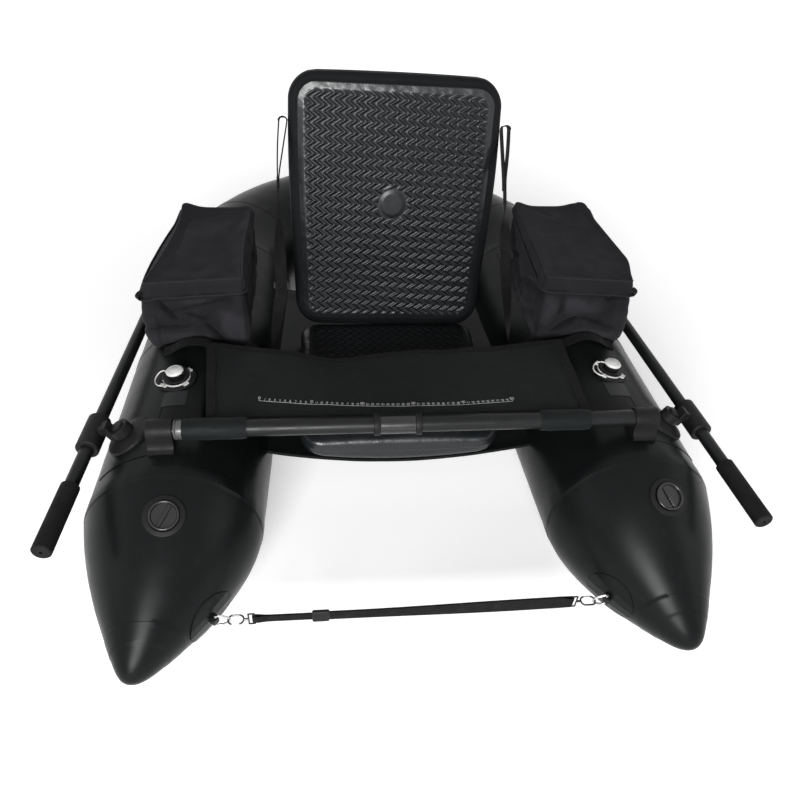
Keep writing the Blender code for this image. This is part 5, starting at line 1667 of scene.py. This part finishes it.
HOLDER_X, HOLDER_R = 0.4425, 0.0195
for word, side in SIDES:
    arc = [(HOLDER_R * math.cos(math.radians(a)), HOLDER_R * math.sin(math.radians(a))) for a in range(0, 181, 6)]
    shape = arc + [(-0.0195, -0.012), (-0.0212, -0.022), (-0.0245, -0.0265), (-0.029, -0.0285), (-0.0295, -0.0305),
                   (-0.0285, -0.0325), (-0.0285, -0.044), (0.0285, -0.044), (0.0285, -0.0325), (0.0295, -0.0305),
                   (0.029, -0.0285), (0.0245, -0.0265), (0.0212, -0.022), (0.0195, -0.012)]
    rings = []
    for x, share in ((-0.0225, 0.955), (-0.0219, 0.985), (-0.0208, 1), (0, 1), (0.0208, 1), (0.0219, 0.985),
                     (0.0225, 0.955)):
        rings.append([Vector((side * HOLDER_X + x, BAR_Y + a * share, BAR_Z + b * share)) for a, b in shape])
    place_piece(word + "_holder", loft(rings), dull_plastic, "hull", [word + "_bar_holder"], 35)

FERRULE_X, COLLAR_X = -0.4085, -0.4145
bm = turned([(bore, -0.009), (0.0172, -0.009), (0.0176, -0.0078), (0.0176, 0.0078), (0.0172, 0.009), (bore, 0.009)],
            64, along_bar(FERRULE_X), closed=True)
turned([(0.0178, -0.0012), (0.0192, 0), (0.0178, 0.0012)], 64, along_bar(COLLAR_X), closed=True, bm=bm)
place_piece("left_ferrule", bm, ferrule, "crossbar")
print("crossbar, joint, holders and ferrule")

# %% [markdown]
# ## Carry handles
#
# Webbing handles arch over the tubes ahead of the bags, sewn down at both ends. A bent plane would have the same
# arch, but the strap helper also rounds its edges and gives it the weave's map.

# %%
HANDLE_PLACE = 0.281
for word, side in SIDES:
    path = []
    for i in range(33):
        share = i / 32
        arch = 0.0022 + 0.0125 * math.sin(math.pi * min(max((share - 0.12) / 0.76, 0), 1)) ** 1.2
        point, _ = on_tube(side, HANDLE_PLACE, math.radians(-24 + 48 * share), arch)
        path.append((point, ALONG, 0.03 - 0.006 * math.sin(math.pi * share) ** 2))
    bm = strap(path, 0.0024, 8)
    place_piece(word + "_handle_web", bm, webbing, "hull", [word + "_carry_handle"], 50)
    bm = bmesh.new()
    for degrees in (-21.5, 21.5):
        point, normal = on_tube(side, HANDLE_PLACE, math.radians(degrees), 0.0036)
        box_stitch(bm, point, ALONG.cross(normal), ALONG, normal, 0.011, 0.022)
    place_piece(word + "_handle_thread", bm, thread, "hull")
print("carry handles")

# %% [markdown]
# ## Bow strap
#
# The bow strap runs between the snap hooks, narrow to its slider and wide after it. A single band would show its cut
# ends at the hooks, so it is one closed run, laid double and turned round the bar of each hook's eye.

# %%
EYE, SLIDER = 0.2855, -0.17
BOW_Y, BOW_Z, BOW_SAG = -0.71158, 0.11719, 0.0025


def bow_spot(x, layer):
    """A point of the doubled bow strap: layer -1 is its front, 1 its rear, which part at the hooks' eyes."""
    apart = 0.0009 + 0.0021 * soft_step(abs(x), 0.262, 0.284)
    return Vector((x, BOW_Y + layer * apart, BOW_Z - BOW_SAG * math.sin(math.pi * (x + EYE) / (2 * EYE))))


def bow_width(x):
    """The strap's width: narrow before the slider, widening after it, and gathered at the right eye."""
    if x < SLIDER:
        return 0.0175
    return 0.0225 + 0.0105 * soft_step(x, SLIDER + 0.04, 0.2) - 0.008 * soft_step(x, 0.262, 0.284)


def bow_turn(side):
    """The strap's turn round the bar of a hook's eye."""
    centre = Vector((side * EYE, BOW_Y, BOW_Z))
    return [centre + Vector((side * math.sin(a), -math.cos(a) * side, 0)) * 0.003
            for a in (math.pi * k / 10 for k in range(1, 10))]


front = [bow_spot(x, -1) for x in np.linspace(-EYE, EYE, 60)]
rear = [bow_spot(x, 1) for x in np.linspace(EYE, -EYE, 60)]
run = front + bow_turn(1) + rear + bow_turn(-1) + front[:1]
bm = strap([(p, UP, bow_width(p.x)) for p in run], 0.0016, 5)
place_piece("bow_web", bm, webbing, "hull", ["bow_strap"], 50)
bm = bmesh.new()
for x in (-0.268, 0.262):
    box_stitch(bm, bow_spot(x, -1) - ALONG * 0.0009, ACROSS, UP, -ALONG, 0.014, 0.011 if x < 0 else 0.022)
place_piece("bow_web_thread", bm, thread, "hull")
print("bow strap", round(2 * EYE, 3), "m between the eyes")

# %% [markdown]
# ## Valve caps
#
# Each inflation valve has a white cap with a knurled rim, which hangs on a white loop. The cap is spun from a profile
# and its knurls are small blocks, because a bump would be gone in the exported mesh. The loop is a cord on the hull:
# it doesn't turn with the cap.

# %%
CAP_PLACE, KNURLS = 0.18, 28
for word, side in SIDES:
    point, normal = on_tube(side, CAP_PLACE, math.radians(7))
    seat_frame = stand(point, normal, Vector((-side * TOE, 1, 0)))
    rim = [(0, 0.0184), (0.0128, 0.0184), (0.0131, 0.0187), (0.0158, 0.0187), (0.0165, 0.0194), (0.0166, 0.0212),
           (0.0162, 0.0226), (0.0148, 0.0238), (0.0118, 0.0246), (0.0112, 0.0242), (0.0105, 0.0246), (0, 0.0251)]
    cap = turned(rim, SPIN, seat_frame)
    for k in range(KNURLS):
        turn = math.tau * k / KNURLS
        tooth = seat_frame @ Matrix.Rotation(turn, 4, "Z") @ Matrix.Translation((0.0166, 0, 0.0205))
        bmesh.ops.create_cube(cap, size=1, matrix=tooth @ Matrix.Diagonal((0.0008, 0.0014, 0.0028, 1)))
    place_piece(word + "_cap_disc", cap, white, word + "_valve_cap", [word + "_air_valve_cap"], 40)
    hang = [(0.002, 0.0155, 0.0195), (0.006, 0.0225, 0.0185), (0.008, 0.031, 0.0145), (0.003, 0.0385, 0.0092),
            (-0.008, 0.0405, 0.0062), (-0.019, 0.036, 0.0062), (-0.025, 0.029, 0.0068), (-0.0245, 0.0245, 0.0072)]
    bm = rod(smooth_path([seat_frame @ Vector(p) for p in hang], 6), 0.0016, 8, flat=0.75)
    turned([(0.0022, 0), (0.0042, 0.0002), (0.0042, 0.0016), (0.0022, 0.0018)], 24,
           seat_frame @ Matrix.Translation((-0.0237, 0.0237, 0.0064)), closed=True, bm=bm)
    place_piece(word + "_cap_tether", bm, white, "hull")
print("valve caps and their loops")

# %% [markdown]
# ## Dump valves
#
# A flat flange is welded into each bow and, in it, a cap with a rounded rim has a grip across its hollow. Booleans
# could cut the hollow, but a spun profile has it already, and the grip is a short loft of its own.

# %%
DUMP_PLACE, DUMP_SPIN, GRIP_HALF = 0.1405, 96, 0.0206


def on_bow(side, ahead, angle, turn):
    """A frame on the bow's skin: this far ahead of the bar, and this angle outwards from its top."""
    share = (ahead - NOSE) / NOSE_RUN

    def skin_point(at_share, at_angle):
        """A point of the bow's skin."""
        centre, radius = bow_ring(at_share)
        return Vector((side * (centre.x + radius * math.sin(at_angle)), centre.y,
                       centre.z + radius * math.cos(at_angle)))

    here = skin_point(share, angle)
    aft = skin_point(share - 0.01, angle) - skin_point(share + 0.01, angle)
    around = skin_point(share, angle + 0.01) - skin_point(share, angle - 0.01)
    return stand(here, aft.cross(around) * -side, aft) @ Matrix.Rotation(turn, 4, "Z")


for word, side, lean in (("left", -1, -5), ("right", 1, 7)):
    valve = on_bow(side, DUMP_PLACE, math.radians(lean), math.radians(20) * side)
    shape = [(0.0262, -0.006), (0.0353, -0.006), (0.0353, 0.0008), (0.0348, 0.0016), (0.0335, 0.0021), (0.029, 0.0026),
             (0.0276, 0.0031), (0.0266, 0.0029), (0.0262, 0.0022)]
    place_piece(word + "_dump_flange", turned(shape, DUMP_SPIN, valve, closed=True), dull_plastic, "hull",
                [word + "_dump_valve_ring"], 35)
    rounded = [(0.0234 + 0.0021 * math.cos(math.radians(a)), 0.0058 + 0.0021 * math.sin(math.radians(a)))
               for a in range(0, 181, 15)]
    shape = [(0, 0.0008), (0.0255, 0.0008)] + rounded + [(0.0211, 0.0036), (0.0205, 0.0028), (0, 0.0022)]
    cap = turned(shape, DUMP_SPIN, valve)
    rings = []
    for x in (-GRIP_HALF, -0.012, 0, 0.012, GRIP_HALF):
        high, thin = 0.0062 - 0.0008 * (x / GRIP_HALF) ** 2, 0.9 if abs(x) > 0.02 else 1
        section = [(-0.0042, 0.002), (-0.0036, high - 0.001), (-0.0024, high), (0.0024, high), (0.0036, high - 0.001),
                   (0.0042, 0.002)]
        rings.append([valve @ Vector((x, b * thin, h)) for b, h in section])
    loft(rings, bm=cap)
    place_piece(word + "_dump_cap_face", cap, gloss_plastic, word + "_dump_cap", [word + "_dump_valve_cap"],
                40)
print("dump valves")

# %% [markdown]
# ## Fittings from the frame
#
# The rigid nodes have their right shape already and stay where they are. Building them again would only add faults,
# so each gets the material of the real piece and nothing else.

# %%
FINISHES = {
    "oar_shaft": lacquer, "air_valve_base": plastic, "air_valve_ring": white, "d_ring_patch": skin, "d_ring": steel,
    "snap_hook": gloss_plastic, "hook_gate": steel, "bow_strap_slider": dull_plastic, "strap_buckle": dull_plastic,
    "oarlock_base": dull_plastic, "oarlock_swivel": dull_plastic, "oarlock_clamp": dull_plastic,
    "oar_grip": rubber, "oar_blade": plastic,
}
dressed = 0
for name in nodes:
    kind = name.removeprefix("left_").removeprefix("right_")
    if kind in FINISHES:
        for material_slot in bpy.data.objects[name].material_slots:
            material_slot.material = FINISHES[kind]
        dressed += 1
print(dressed, "fittings dressed")
